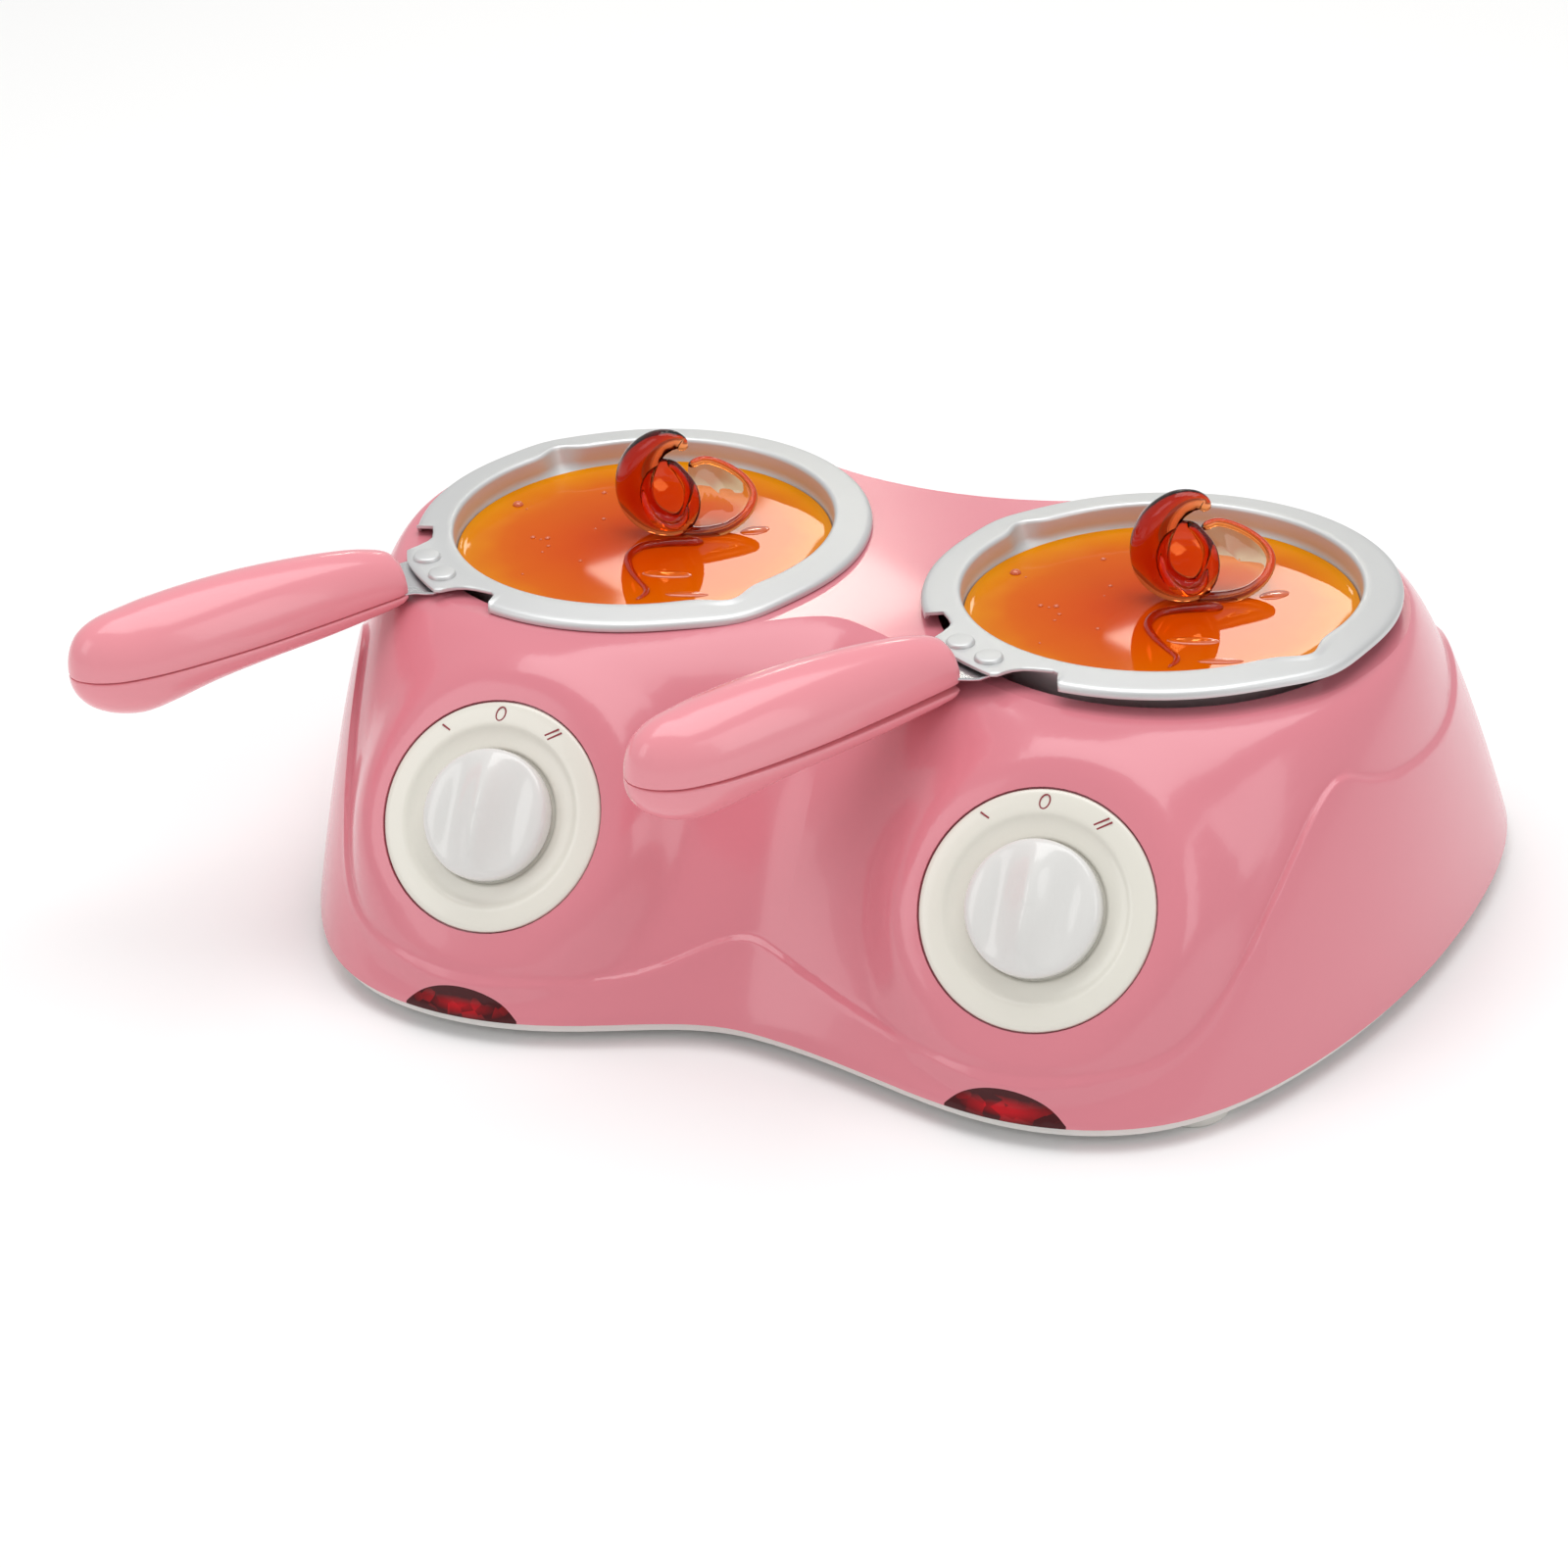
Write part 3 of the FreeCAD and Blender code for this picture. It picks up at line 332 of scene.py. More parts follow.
def wax_pool_material():
    """Opaque-looking amber, yellower at the wall and deeper under the poured loop."""
    material, tree, shader = principled("wax_pool", srgb(214, 100, 4), 0.03, Specular_IOR_Level=0.06)
    place = node(tree, "ShaderNodeTexCoord").outputs["Object"]
    cloud = node(tree, "ShaderNodeTexNoise", Scale=45.0, Detail=2.0)
    tree.links.new(place, cloud.inputs["Vector"])
    radius = shifted(tree, cloud.outputs["Fac"], 0.012, reach(tree, place, (1.0, 1.0, 0.0)))
    stops = [(0.02, srgb(200, 66, 0)), (0.042, srgb(208, 92, 0)), (0.056, srgb(222, 140, 2))]
    tree.links.new(colour_ramp(tree, radius, stops), shader.inputs["Base Color"])
    return material


def wax_swirl_material():
    """Clear amber gel for the loop, the ring and the ribbon."""
    material, tree, _ = principled("wax_swirl", srgb(255, 190, 120), 0.02, Transmission_Weight=1.0, IOR=1.4)
    absorb = node(tree, "ShaderNodeVolumeAbsorption", Density=230.0)
    absorb.inputs["Color"].default_value = srgb(226, 116, 14)
    output = next(n for n in tree.nodes if n.type == "OUTPUT_MATERIAL")
    tree.links.new(absorb.outputs["Volume"], output.inputs["Volume"])
    return material


def lens_material():
    """Clear dark red with painted light: painted brightest in the middle, and the small facets moulded into its
    back each painted a little lighter or darker.
    """
    material, tree, shader = principled("red_lens", srgb(90, 6, 14), 0.15, Specular_IOR_Level=0.3)
    place = node(tree, "ShaderNodeTexCoord")
    cells = node(tree, "ShaderNodeTexVoronoi", Scale=330.0)
    tree.links.new(place.outputs["Object"], cells.inputs["Vector"])
    facet = node(tree, "ShaderNodeSeparateColor")
    tree.links.new(cells.outputs["Color"], facet.inputs["Color"])
    # painted light: the colour is made brighter towards the lens's middle, and each facet cell is painted a little
    # lighter or darker
    from_middle = reach(tree, place.outputs["Generated"], (2.0, 0.0, 2.2), (-1.0, 0.0, -0.8))
    painted_glow = shifted(tree, facet.outputs["Red"], 0.5, from_middle)
    stops = [(0.35, srgb(186, 12, 26)), (1.0, srgb(66, 4, 10))]
    tree.links.new(colour_ramp(tree, painted_glow, stops), shader.inputs["Base Color"])
    bumped(tree, shader, cells.outputs["Distance"], 0.25, 0.0005)
    return material


MATERIALS = {
    "housing_pink": moulded("housing_pink", srgb(217, 128, 140), 0.2, coat=0.25),
    "handle_pink": moulded("handle_pink", srgb(234, 146, 156), 0.2, coat=0.3),
    "cream_plastic": moulded("cream_plastic", srgb(228, 225, 214), 0.25, coat=0.3),
    "knob_white": moulded("knob_white", srgb(222, 221, 218), 0.2, coat=0.4),
    "base_white": moulded("base_white", srgb(226, 224, 220), 0.45, bump=0.2),
    "foot_rubber": moulded("foot_rubber", srgb(206, 206, 200), 0.6, bump=0.3),
    "red_lens": lens_material(),
    "neon_glass": moulded("neon_glass", srgb(240, 200, 180), 0.1),
    "black_plastic": moulded("black_plastic", srgb(28, 28, 30), 0.45, bump=0.2),
    "white_nylon": moulded("white_nylon", srgb(222, 218, 208), 0.5, bump=0.2),
    "wax_amber": wax_pool_material(),
    "pot_aluminium": metal("pot_aluminium", srgb(214, 215, 215), 0.46, metallic=0.75),
    "steel_sheet": metal("steel_sheet", srgb(212, 212, 214), 0.28),
    "zinc_steel": metal("zinc_steel", srgb(196, 198, 202), 0.35),
    "cast_aluminium": metal("cast_aluminium", srgb(190, 190, 192), 0.5, bump=0.4),
    "element_sheath": metal("element_sheath", srgb(120, 112, 104), 0.55, bump=0.4),
}
SWIRL = wax_swirl_material()
DROP = moulded("wax_drop", srgb(206, 84, 2), 0.06, coat=1.0, bump=0.0)
PRINT = moulded("print_dark_red", srgb(140, 40, 52), 0.5)


def dress_nodes():
    """Every CAD node gets the procedural material of its record slot."""
    slots = {part["node"]: part["material_slot"] for part in frame["record"]["subparts"]}
    for name, obj in frame["nodes"].items():
        obj.data.materials.clear()
        obj.data.materials.append(MATERIALS[slots[name]])


# ---------------------------------------------------------------- mesh helpers

def hermite(table, x):
    """Smooth curve through a table's rows (x, values...), as a list of values."""
    last = len(table) - 1
    i = 0
    while i < last - 1 and x > table[i + 1][0]:
        i += 1

    def slope(k, column):
        low = max(k - 1, 0)
        high = min(k + 1, last)
        return (table[high][column] - table[low][column]) / (table[high][0] - table[low][0])

    x0 = table[i][0]
    span = table[i + 1][0] - x0
    t = min(max((x - x0) / span, 0.0), 1.0)
    values = []
    for column in range(1, len(table[0])):
        start, end = table[i][column], table[i + 1][column]
        values.append((2 * t ** 3 - 3 * t ** 2 + 1) * start + (3 * t ** 2 - 2 * t ** 3) * end
                      + (t ** 3 - 2 * t ** 2 + t) * span * slope(i, column)
                      + (t ** 3 - t ** 2) * span * slope(i + 1, column))
    return values


def piece(name, verts, faces, material, matrix, slot, body, nodes=(), smooth=True):
    """A new mesh in millimetres, put in place, riding on its body and standing for CAD nodes."""
    mesh = bpy.data.meshes.new(name)
    mesh.from_pydata([Vector(v) * MM for v in verts], [], faces)
    mesh.materials.append(material)
    mesh.polygons.foreach_set("use_smooth", [smooth] * len(mesh.polygons))
    mesh.validate()
    obj = link(bpy.data.objects.new(name, mesh))
    obj.matrix_world = matrix
    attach(obj, body)
    if nodes:
        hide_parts(*nodes)
    return obj


def grid_faces(rows, columns, close_rows=False, close_columns=True, start=0):
    """Quads between rows of vertices; each row has the given number of columns."""
    faces = []
    for i in range(rows if close_rows else rows - 1):
        for j in range(columns if close_columns else columns - 1):
            a = start + i * columns + j
            b = start + i * columns + (j + 1) % columns
            c = start + ((i + 1) % rows) * columns + (j + 1) % columns
            d = start + ((i + 1) % rows) * columns + j
            faces.append((a, b, c, d))
    return faces


def merge(*meshes):
    """One (verts, faces) pair from several."""
    verts = []
    faces = []
    for more_verts, more_faces in meshes:
        start = len(verts)
        verts += list(more_verts)
        faces += [tuple(start + index for index in face) for face in more_faces]
    return verts, faces


def lathe(profile, centre=(0.0, 0.0), segments=96):
    """Surface of revolution about z of a profile of (radius, z) points."""
    verts = []
    for i in range(segments):
        angle = FULL_TURN * i / segments
        verts += [(centre[0] + r * math.cos(angle), centre[1] + r * math.sin(angle), z) for r, z in profile]
    return verts, grid_faces(segments, len(profile), close_rows=True, close_columns=False)


def smooth_path(points, samples):
    """Points on a smooth curve through rows (x, y, z, radius)."""
    table = [(float(i),) + tuple(p) for i, p in enumerate(points)]
    last = len(points) - 1
    return [hermite(table, last * i / (samples - 1)) for i in range(samples)]


def tube(points, samples=60, around=20, flat=1.0):
    """Round bar along a smooth path whose radius changes; flat squashes it along its own upright."""
    rows = smooth_path(points, samples)
    centres = [Vector(row[:3]) for row in rows]
    verts = []
    side = Vector((0.0, 0.0, 1.0))
    for i, centre in enumerate(centres):
        along = (centres[min(i + 1, samples - 1)] - centres[max(i - 1, 0)]).normalized()
        side = (side - along * side.dot(along)).normalized()
        other = along.cross(side)
        end = min(i, samples - 1 - i) / 3
        radius = max(rows[i][3], 0.05) * math.sqrt(min(1.0, 0.05 + end))
        for j in range(around):
            angle = FULL_TURN * j / around
            verts.append(centre + (side * math.cos(angle) * flat + other * math.sin(angle)) * radius)
    faces = grid_faces(samples, around)
    faces.append(tuple(reversed(range(around))))
    faces.append(tuple(range((samples - 1) * around, samples * around)))
    return verts, faces


def ellipsoid(centre, axes, sizes, rings=14, around=24):
    centre = Vector(centre)
    verts = []
    for i in range(rings + 1):
        tilt = math.pi * i / rings
        for j in range(around):
            angle = FULL_TURN * j / around
            local = (sizes[0] * math.sin(tilt) * math.cos(angle), sizes[1] * math.sin(tilt) * math.sin(angle),
                     sizes[2] * math.cos(tilt))
            verts.append(centre + axes[0] * local[0] + axes[1] * local[1] + axes[2] * local[2])
    return verts, grid_faces(rings + 1, around)


# ---------------------------------------------------------------- handles

HANDLE_START = {"left": 10.9, "right": 8.9}
SEAM_START = {"left": -1.725, "right": -2.45}
SEAM_SLOPE = {"left": 0.0, "right": -0.015}
HANDLE_ROLL = {"left": 0.0, "right": -5.0}
LOWER_SPLAY = {"left": 0.0, "right": 1.0}
SEAM_GAP = 0.35
# distance from the start, half width, height above the seam, depth below it
HANDLE_STATIONS = [
    (0.0, 6.6, 7.6, 2.8), (1.5, 7.4, 9.2, 3.8), (5.0, 8.0, 10.8, 4.6), (12.0, 8.9, 12.6, 5.4),
    (24.0, 10.4, 14.2, 6.6), (40.0, 12.0, 15.3, 7.6), (54.0, 12.6, 15.3, 9.4), (66.0, 12.5, 14.6, 12.2),
    (73.0, 11.8, 13.8, 13.2), (80.0, 10.2, 12.8, 11.6), (85.0, 7.4, 10.6, 8.8), (87.6, 4.6, 7.4, 5.8),
    (88.8, 2.2, 3.8, 3.0), (89.1, 0.3, 0.6, 0.5),
]
HANDLE_ROWS = 90
SECTION_STEPS = 28
SEAM_EDGE = 0.5


def shell_section(distance, side, sign):
    half_width, above, below = hermite(HANDLE_STATIONS, distance)
    height = above if sign > 0 else below
    edge = min(SEAM_EDGE, half_width / 3, height / 3)
    base = SEAM_START[side] + SEAM_SLOPE[side] * distance + sign * SEAM_GAP / 2
    ring = [(half_width - edge, 0.0), (half_width - edge * 0.3, edge * 0.3)]
    for i in range(SECTION_STEPS + 1):
        angle = math.pi * i / SECTION_STEPS
        ring.append((half_width * math.cos(angle), edge + (height - edge) * math.sin(angle)))
    ring += [(-half_width + edge * 0.3, edge * 0.3), (-half_width + edge, 0.0)]
    return [(HANDLE_START[side] + distance, y, base + sign * z) for y, z in ring]


def handle_shell(side, sign):
    length = HANDLE_STATIONS[-1][0]
    verts = []
    for i in range(HANDLE_ROWS + 1):
        share = (1 - math.cos(math.pi * i / HANDLE_ROWS)) / 2
        verts += shell_section(length * share, side, sign)
    columns = SECTION_STEPS + 5
    faces = grid_faces(HANDLE_ROWS + 1, columns)
    faces.append(tuple(reversed(range(columns))))
    faces.append(tuple(range(HANDLE_ROWS * columns, (HANDLE_ROWS + 1) * columns)))
    if sign < 0:
        faces = [tuple(reversed(face)) for face in faces]
    return verts, faces


def make_handles(side):
    grip = handle_frame(side) @ turn(HANDLE_ROLL[side], "X")
    tip = Matrix.Translation(Vector((HANDLE_START[side] + HANDLE_STATIONS[-1][0], 0, SEAM_START[side])) * MM)
    opened = grip @ tip @ turn(LOWER_SPLAY[side], "Y").inverted() @ tip.inverted()
    material = MATERIALS["handle_pink"]
    for name, sign, matrix in (("upper", 1, grip), ("lower", -1, opened)):
        verts, faces = handle_shell(side, sign)
        shell = piece(f"handle_{name}_{side}", verts, faces, material, matrix, "handle_pink", f"pot_{side}",
                      [f"handle_{name}_shell_{side}"])
        shell.data.set_sharp_from_angle(angle=math.radians(50))


# ---------------------------------------------------------------- pots

MOUTH = 50.0
FLANGE = 60.0
BOWL_WALL = 1.1
BOWL_DEPTH = 46.0
BOWL_CORNER = 14.0
BOWL_FLOOR = 30.0
WAX_LEVEL = -6.2
# outline of the tab and of the two bites beside it: (angle from the tab's middle, radius)
TAB_EDGE = [
    (-25.2, 60.0), (-24.5, 55.6), (-21.0, 55.3), (-17.5, 55.6), (-15.3, 57.0), (-13.2, 59.8), (-11.6, 62.7),
    (-6.0, 63.8), (0.0, 63.9), (6.0, 64.1), (11.2, 64.4), (12.4, 63.4), (12.9, 61.0), (13.6, 59.2),
    (15.2, 57.4), (17.5, 56.2), (20.0, 55.4), (22.4, 54.9), (24.2, 55.6), (25.4, 58.4), (26.2, 60.0),
]
RIM_HEIGHT = 0.95
RIM_SLOPE = 0.13
MOUTH_ROUNDING = 1.1
TAB_FLAT_FROM = 55.2
CORNER_STEPS = 7
FLANGE_STEPS = 6
# how the flange ends, as (inwards from its edge, down from its top): turned down, or cut off at the tab
TURNED_LIP = [(0.8, 0.22), (0.2, 0.75), (0.0, 1.4), (0.1, 2.2), (0.9, 2.2), (1.1, 1.3)]
CUT_EDGE = [(0.0, 0.15), (0.0, 0.45), (0.0, 0.75), (0.1, 0.9), (0.6, 0.95), (1.1, 0.98)]
# pouring dents: (angle from the tab, how far the mouth swings out, half width in degrees)
DENTS = [(91.0, 4.2, 6.5), (-86.0, 3.0, 5.0)]


def bell(offset, width):
    return math.exp(-(offset / width) ** 2)


def rim_angles():
    """Angles of the bowl's rows, finer over the tab and its bites."""
    coarse = [i * 1.5 for i in range(-120, 120)]
    fine = [-25.2 + i * 0.35 for i in range(148)]
    return sorted([a for a in coarse if not -25.6 < a < 26.6] + fine)


def rim_edge(angle):
    """Outer radius of the rim, and whether its edge is turned down there."""
    if TAB_EDGE[0][0] <= angle <= TAB_EDGE[-1][0]:
        i = max(k for k in range(len(TAB_EDGE) - 1) if TAB_EDGE[k][0] <= angle)
        (a0, r0), (a1, r1) = TAB_EDGE[i], TAB_EDGE[i + 1]
        return r0 + (r1 - r0) * (angle - a0) / (a1 - a0), False
    swell = sum(out * 0.45 * bell(angle - centre, width * 1.7) for centre, out, width in DENTS)
    return FLANGE + swell, True


def bowl_corner(inset=0.0):
    """Rounded corner between the bowl's floor and its wall, from the floor up."""
    corner = []
    for i in range(CORNER_STEPS + 1):
        turned = math.radians(90 * i / CORNER_STEPS)
        radius = BOWL_FLOOR + (BOWL_CORNER - inset) * math.sin(turned)
        corner.append((radius, inset - BOWL_DEPTH + BOWL_CORNER * (1 - math.cos(turned))))
    return corner


def inner_wall(dent):
    """Wall from the corner up to the rounded mouth, which a pouring dent pushes outwards."""
    mouth = MOUTH + dent
    return [(MOUTH - 1.6, -16.0), (MOUTH - 1.1, -10.0), (MOUTH - 0.9 + dent * 0.15, -6.6),
            (MOUTH - 0.2 + dent * 0.35, -6.0), (MOUTH + dent * 0.6, -3.4), (mouth - 0.1, -0.2),
            (mouth + 0.1, 0.45), (mouth + 0.5, 0.85), (mouth + MOUTH_ROUNDING, RIM_HEIGHT)]


def flange(dent, edge, turned_down):
    """Top of the rim from the mouth to its edge, and round that edge."""
    start = MOUTH + dent + MOUTH_ROUNDING
    end = edge - (1.6 if turned_down else 0.15)
    top = []
    for i in range(1, FLANGE_STEPS + 1):
        radius = start + (end - start) * i / FLANGE_STEPS
        sloping = radius if turned_down else min(radius, TAB_FLAT_FROM)
        top.append((radius, RIM_HEIGHT - RIM_SLOPE * (sloping - MOUTH - MOUTH_ROUNDING)))
    end_z = top[-1][1]
    rolled = TURNED_LIP if turned_down else CUT_EDGE
    return top + [(edge - inwards, end_z - down) for inwards, down in rolled]


def rim_section(angle):
    """Closed section of the pot at one angle as (radius, z), from the inside of its floor to the outside."""
    dent = sum(out * bell(angle - centre, width) for centre, out, width in DENTS)
    outer = MOUTH + BOWL_WALL
    under = [(MOUTH + dent + 3.0, -0.5), (outer + dent, -1.2), (outer + dent * 0.4, -6.0),
             (MOUTH + 0.4, -12.0)]
    corner = bowl_corner()
    outside = [(r + BOWL_WALL * 0.9, z - BOWL_WALL * 0.5) for r, z in reversed(corner)]
    inside = [(0.0, -BOWL_DEPTH)] + corner + inner_wall(dent)
    return inside + flange(dent, *rim_edge(angle)) + under + outside + [(0.0, -BOWL_DEPTH - BOWL_WALL)]


def make_bowl(side):
    verts = []
    angles = rim_angles()
    for angle in angles:
        verts += [polar(radius, angle, z) for radius, z in rim_section(angle)]
    columns = len(verts) // len(angles)
    faces = grid_faces(len(angles), columns, close_rows=True, close_columns=False)
    bowl = piece(f"bowl_{side}", verts, faces, MATERIALS["pot_aluminium"], tab_frame(side), "pot_aluminium",
                 f"pot_{side}", [f"pot_bowl_{side}"])
    bowl.data.set_sharp_from_angle(angle=math.radians(55))


# head of a rivet as (radius, height above the tab)
RIVET_PROFILE = [(0.0, 1.2), (2.9, 1.17), (3.2, 1.1), (3.45, 0.85), (3.6, 0.5), (3.65, 0.15), (3.6, 0.0),
                 (0.0, 0.0)]
TAB_TOP = 0.3


def make_rivets(side):
    profile = [(radius, TAB_TOP + height) for radius, height in RIVET_PROFILE]
    heads = [lathe(profile, (RIVET_RING, y), 40) for y in (-RIVET_SPREAD, RIVET_SPREAD)]
    verts, faces = merge(*heads)
    piece(f"rivets_{side}", verts, faces, MATERIALS["pot_aluminium"], tab_frame(side), "pot_aluminium",
          f"pot_{side}", [f"pot_rivets_{side}"])


# half outline of the bracket as (distance along the handle, half width)
TANG_OUTLINE = [(-6.2, 8.6), (-2.0, 10.6), (5.8, 10.2), (7.5, 8.9), (9.5, 7.2), (14.0, 5.6), (22.0, 5.5),
                (44.0, 5.5), (45.6, 4.0)]
TANG_TOP = -1.3
TANG_BOTTOM = -2.15
TANG_SOFT = 0.22


def make_tang(side):
    """Bracket with slightly rolled edges."""
    layers = [(TANG_BOTTOM, TANG_SOFT), (TANG_BOTTOM + TANG_SOFT, 0.0), (TANG_TOP - TANG_SOFT, 0.0),
              (TANG_TOP, TANG_SOFT)]
    outline = TANG_OUTLINE + [(x, -half) for x, half in reversed(TANG_OUTLINE)]
    verts = []
    for z, inset in layers:
        verts += [(x, half - math.copysign(inset, half), z) for x, half in outline]
    count = len(outline)
    faces = [tuple(reversed(face)) for face in grid_faces(len(layers), count)]
    faces.append(tuple(range(count)))
    faces.append(tuple(reversed(range((len(layers) - 1) * count, len(layers) * count))))
    tang = piece(f"tang_{side}", verts, faces, MATERIALS["steel_sheet"], handle_frame(side), "steel_sheet",
                 f"pot_{side}", [f"pot_tang_{side}"])
    tang.data.set_sharp_from_angle(angle=math.radians(40))


# ---------------------------------------------------------------- wax

POUR_BASE = Vector((4.6, 5.6, WAX_LEVEL))
POUR_RIGHT = Vector((0.929, 0.370, 0.0))
POUR_AWAY = Vector((-0.388, 0.922, 0.0))
# poured loop: (to the right, away, up, radius) from the foot of the loop
LOOP_PATH = [
    (4.8, -2.4, 25.4, 1.3), (4.2, -2.6, 27.6, 2.0), (1.4, -2.0, 28.2, 2.9), (-2.6, -0.8, 26.4, 3.9),
    (-6.4, 0.6, 21.8, 4.8), (-8.4, 1.6, 15.8, 5.1), (-8.0, 2.0, 9.6, 4.9), (-5.0, 1.6, 5.2, 4.3),
    (-0.4, 0.8, 3.2, 3.6), (3.8, 0.0, 4.2, 3.0), (6.2, -0.6, 8.6, 2.4), (6.0, -1.0, 14.0, 1.9),
    (3.6, -1.2, 18.6, 1.5), (0.6, -1.4, 22.4, 1.2),
]
INNER_PATH = [
    (-6.4, -2.2, 14.6, 0.5), (-5.4, -3.0, 9.4, 1.0), (-2.6, -3.4, 5.4, 1.3), (1.4, -3.4, 4.0, 1.2),
    (4.4, -3.2, 6.0, 0.9), (5.2, -3.0, 10.0, 0.5),
]
RING_PATH = [
    (5.6, 13.0, 14.0, 1.2), (10.0, 15.0, 14.6, 1.1), (15.6, 14.0, 13.0, 1.1), (20.4, 11.0, 10.4, 1.1),
    (22.4, 7.0, 7.4, 1.2), (20.4, 3.0, 4.2, 1.3), (15.4, 0.4, 1.6, 1.5), (9.0, -0.6, 0.6, 1.8),
    (3.0, -0.4, 0.6, 2.2),
]
# ribbon that runs over the surface towards the front, in the pot's own x and y:
# (x, y, height above the wax, radius)
RIBBON_PATH = [
    (14.9, 4.0, 0.3, 1.8), (10.0, 1.9, 0.6, 1.7), (4.5, -0.8, 0.6, 1.4), (0.3, -4.6, 0.5, 1.3),
    (-0.2, -10.7, 0.4, 1.1), (3.5, -17.2, 0.3, 0.9), (8.3, -22.6, 0.2, 0.7), (11.7, -26.2, 0.2, 0.8),
    (12.3, -29.2, 0.1, 0.7), (11.3, -32.2, 0.0, 0.5),
]
# low drops on the surface: (x, y, half length, half width, direction in degrees)
DROPS = [(13.1, -16.2, 6.6, 2.2, 12.0), (22.6, -25.4, 5.6, 1.5, 16.0), (25.1, 14.9, 4.0, 2.4, 40.0)]


def pour_point(right, away, up):
    return POUR_BASE + POUR_RIGHT * right + POUR_AWAY * away + Vector((0, 0, up))


def poured(path):
    return [tuple(pour_point(a, d, h)) + (radius,) for a, d, h, radius in path]


def membrane(path, thickness):
    """Thin domed sheet of gel that fills a loop."""
    rows = [Vector(row[:3]) for row in smooth_path(path, 40)]
    centre = sum(rows, Vector()) / len(rows)
    normal = (rows[0] - centre).cross(rows[13] - centre).normalized()
    verts = []
    rings = 6
    for ring in range(rings + 1):
        share = 1 - ring / rings
        bulge = thickness * math.sqrt(max(0.0, 1 - share * share))
        verts += [centre + (row - centre) * share + normal * bulge for row in rows]
        if ring == rings:
            break
    return verts, grid_faces(rings + 1, len(rows))


def drop_mesh(x, y, half_length, half_width, direction):
    along = polar(1.0, direction)
    across = polar(1.0, direction + 90)
    return ellipsoid((x, y, WAX_LEVEL), (along, across, Vector((0, 0, 1))), (half_length, half_width, 0.5))


# edge of the wax, which creeps up the wall, as (radius, height above the surface), and the wall below it
POOL_EDGE = [(0.0, 0.0), (15.0, 0.0), (30.0, 0.0), (42.0, 0.0), (47.2, 0.05), (48.9, 0.25), (49.4, 0.6),
             (49.2, -0.3), (48.8, -1.2)]
POOL_WALL = [(48.5, -12.0), (48.2, -16.0)]
POOL_GAP = 0.15
UP = Vector((0.0, 0.0, 1.0))


def wax_pool():
    """Disc of wax that fills the bowl up to the wax level."""
    top = [(radius, WAX_LEVEL + height) for radius, height in POOL_EDGE]
    corner = list(reversed(bowl_corner(POOL_GAP)))
    return lathe(list(reversed(top + POOL_WALL + corner + [(0.0, POOL_GAP - BOWL_DEPTH)])), segments=128)


LARGEST_BUBBLE = (-42.0, 10.6, 1.5)
BUBBLE_COUNT = 16
BUBBLE_SEED = 7


def bubbles():
    """Small domes that stand on the left half of the surface."""
    maker = random.Random(BUBBLE_SEED)
    places = [LARGEST_BUBBLE]
    for _ in range(BUBBLE_COUNT):
        angle = maker.uniform(95, 265)
        spot = polar(maker.uniform(14, 45), angle)
        places.append((spot.x, spot.y, maker.uniform(0.25, 0.75)))
    upright = (Vector((1, 0, 0)), Vector((0, 1, 0)), UP)
    domes = [ellipsoid((x, y, WAX_LEVEL), upright, (size, size, size * 0.7), 8, 14) for x, y, size in places]
    return merge(*domes)


def make_wax(side):
    matrix = pot_frame(side)
    body = f"pot_{side}"
    pool = piece(f"wax_pool_{side}", *wax_pool(), MATERIALS["wax_amber"], matrix, "wax_amber", body,
                 [f"wax_{side}"])
    pool.data.set_sharp_from_angle(angle=math.radians(60))
    raised = merge(bubbles(), *[drop_mesh(*drop) for drop in DROPS])
    piece(f"wax_drops_{side}", *raised, DROP, matrix, "wax_amber", body)
    ribbon = [(x, y, WAX_LEVEL + z, radius) for x, y, z, radius in RIBBON_PATH]
    swirl = merge(tube(poured(LOOP_PATH), 90, 28), tube(poured(INNER_PATH), 40, 14),
                  tube(poured(RING_PATH), 70, 16), tube(ribbon, 70, 16, 0.7))
    piece(f"wax_swirl_{side}", *swirl, SWIRL, matrix, "wax_amber", body)
    loop_sheet = ellipsoid(pour_point(-0.6, 0.6, 12.4), (POUR_RIGHT, UP, POUR_AWAY), (7.0, 9.6, 1.6))
    sheets = merge(loop_sheet, membrane(poured(RING_PATH), 0.8))
    piece(f"wax_sheet_{side}", *sheets, SWIRL, matrix, "wax_amber", body)


# ---------------------------------------------------------------- dials and knobs

PLATE_PROFILE = [
    (4.9, -1.55), (28.3, -1.55), (28.68, -1.3), (28.7, -0.7), (28.55, -0.2), (28.1, 0.12), (27.2, 0.3),
    (25.6, 0.42), (24.0, 0.5), (23.2, 0.5), (22.6, 0.38), (22.1, 0.12), (21.4, -0.12), (20.2, -0.3),
    (18.8, -0.4), (17.6, -0.42), (16.9, -0.5), (16.6, -0.9), (4.9, -0.9), (4.9, -1.55),
]
MARK_Z = 0.46
MARK_HEIGHT = 0.06
MARK_DEPTH = 0.3
MARK_LINE = 0.42
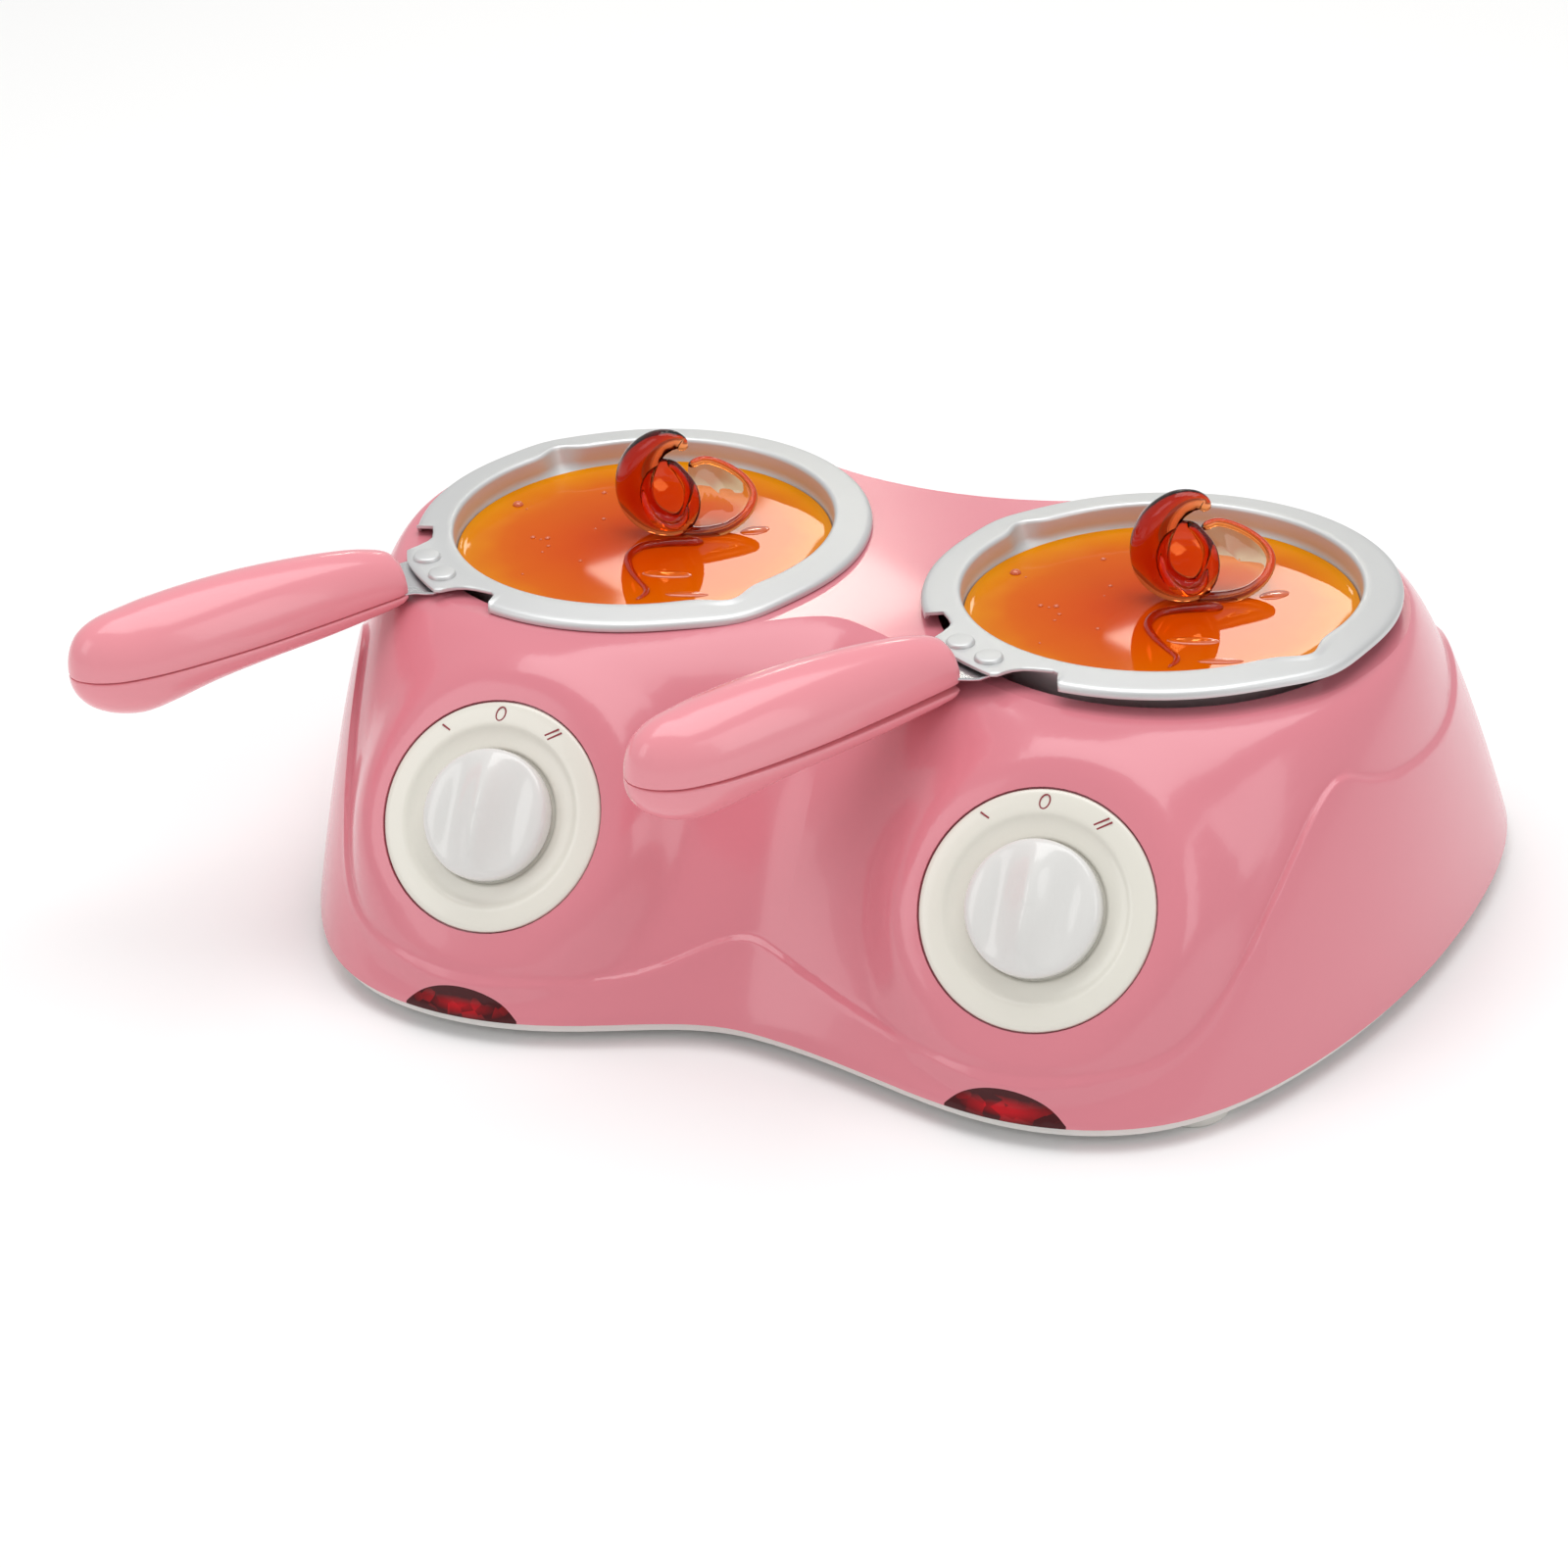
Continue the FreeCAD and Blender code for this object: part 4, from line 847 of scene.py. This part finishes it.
# the strokes of I and II as (start, end), and the oval of 0, in the dial's own x and y
BARS = [((-17.6, 20.5), (-15.3, 19.4)), ((10.0, 21.8), (13.4, 23.9)), ((10.9, 20.9), (14.3, 23.1))]
OVAL_CENTRE = Vector((-2.65, 25.4))
OVAL_HALF = (1.15, 1.75)
OVAL_SLANT = -14.0
OVAL_STEPS = 28
KNOB_RADIUS = 16.4
KNOB_RIM_HEIGHT = 5.0
KNOB_DOME = 2.7
RIDGE_HEIGHT = 2.0
RIDGE_WIDTH = 3.0
RIDGE_REACH = 17.0
SCOOP_DEPTH = 1.7
SCOOP_PLACE = 8.0
SCOOP_WIDTH = 3.6
SCOOP_REACH = 14.5
KNOB_AROUND = 120
KNOB_RING_STEP = 1.2
KNOB_RINGS = 13
# rounded edge of the knob as (radius, drop below its face), and its side and underside as (radius, height)
KNOB_EDGE = [(15.2, 0.05), (15.8, 0.25), (16.15, 0.6), (16.34, 1.05), (16.4, 1.7)]
KNOB_SIDE = [(16.4, 1.2), (16.3, 0.4), (15.9, 0.3), (3.2, 0.3)]


def stroke(start, end, width):
    """Thin raised bar between two points of the dial."""
    start = Vector(start)
    end = Vector(end)
    across = Vector((start.y - end.y, end.x - start.x)).normalized() * width / 2
    corners = [start + across, end + across, end - across, start - across]
    verts = [(c.x, c.y, z) for z in (MARK_Z - MARK_DEPTH, MARK_Z + MARK_HEIGHT) for c in corners]
    faces = [(0, 1, 2, 3), (7, 6, 5, 4)] + [(i, i + 4, (i + 1) % 4 + 4, (i + 1) % 4) for i in range(4)]
    return verts, faces


def dial_marks():
    ring = []
    for i in range(OVAL_STEPS):
        turned = FULL_TURN * i / OVAL_STEPS
        spot = Vector((OVAL_HALF[0] * math.cos(turned), OVAL_HALF[1] * math.sin(turned), 0.0))
        ring.append(OVAL_CENTRE + (turn(OVAL_SLANT, "Z") @ spot).to_2d())
    strokes = [stroke(start, end, MARK_LINE) for start, end in BARS]
    strokes += [stroke(ring[i], ring[(i + 1) % OVAL_STEPS], MARK_LINE * 0.8) for i in range(OVAL_STEPS)]
    return merge(*strokes)


def knob_height(x, y):
    """Low dome with a soft ridge for the fingers and a scoop on either side of it."""
    share = (x * x + y * y) / KNOB_RADIUS ** 2
    dome = KNOB_RIM_HEIGHT + KNOB_DOME * (1 - share)
    ridge = RIDGE_HEIGHT * bell(x, RIDGE_WIDTH) * max(0.0, 1 - (abs(y) / RIDGE_REACH) ** 3)
    scoop = SCOOP_DEPTH * bell(abs(x) - SCOOP_PLACE, SCOOP_WIDTH) * max(0.0, 1 - (y / SCOOP_REACH) ** 2)
    return dome + ridge - scoop


def knob_ring(radius):
    turns = [FULL_TURN * j / KNOB_AROUND for j in range(KNOB_AROUND)]
    return [(radius * math.cos(turned), radius * math.sin(turned)) for turned in turns]


def knob_mesh():
    face = [(KNOB_RING_STEP * i, 0.0) for i in range(KNOB_RINGS)]
    verts = []
    for radius, drop in face + KNOB_EDGE:
        verts += [(x, y, knob_height(x, y) - drop) for x, y in knob_ring(radius)]
    for radius, height in KNOB_SIDE:
        verts += [(x, y, height) for x, y in knob_ring(radius)]
    faces = [tuple(reversed(quad)) for quad in grid_faces(len(verts) // KNOB_AROUND, KNOB_AROUND)]
    return verts, faces


def make_dial(side):
    matrix = dial_frame(side)
    plate = piece(f"dial_{side}", *lathe(PLATE_PROFILE, segments=128), MATERIALS["cream_plastic"], matrix,
                  "cream_plastic", "housing", [f"dial_plate_{side}"])
    plate.data.set_sharp_from_angle(angle=math.radians(50))
    piece(f"dial_marks_{side}", *dial_marks(), PRINT, matrix, "red_lens", "housing", smooth=False)
    piece(f"control_knob_{side}", *knob_mesh(), MATERIALS["knob_white"], matrix, "knob_white", f"knob_{side}",
          [f"knob_{side}"])


make_lights(make_camera())
make_floor()
dress_nodes()
for pot_side in SIDES:
    make_handles(pot_side)
    make_bowl(pot_side)
    make_rivets(pot_side)
    make_tang(pot_side)
    make_wax(pot_side)
    make_dial(pot_side)

bpy.context.scene.view_settings.view_transform = "Standard"
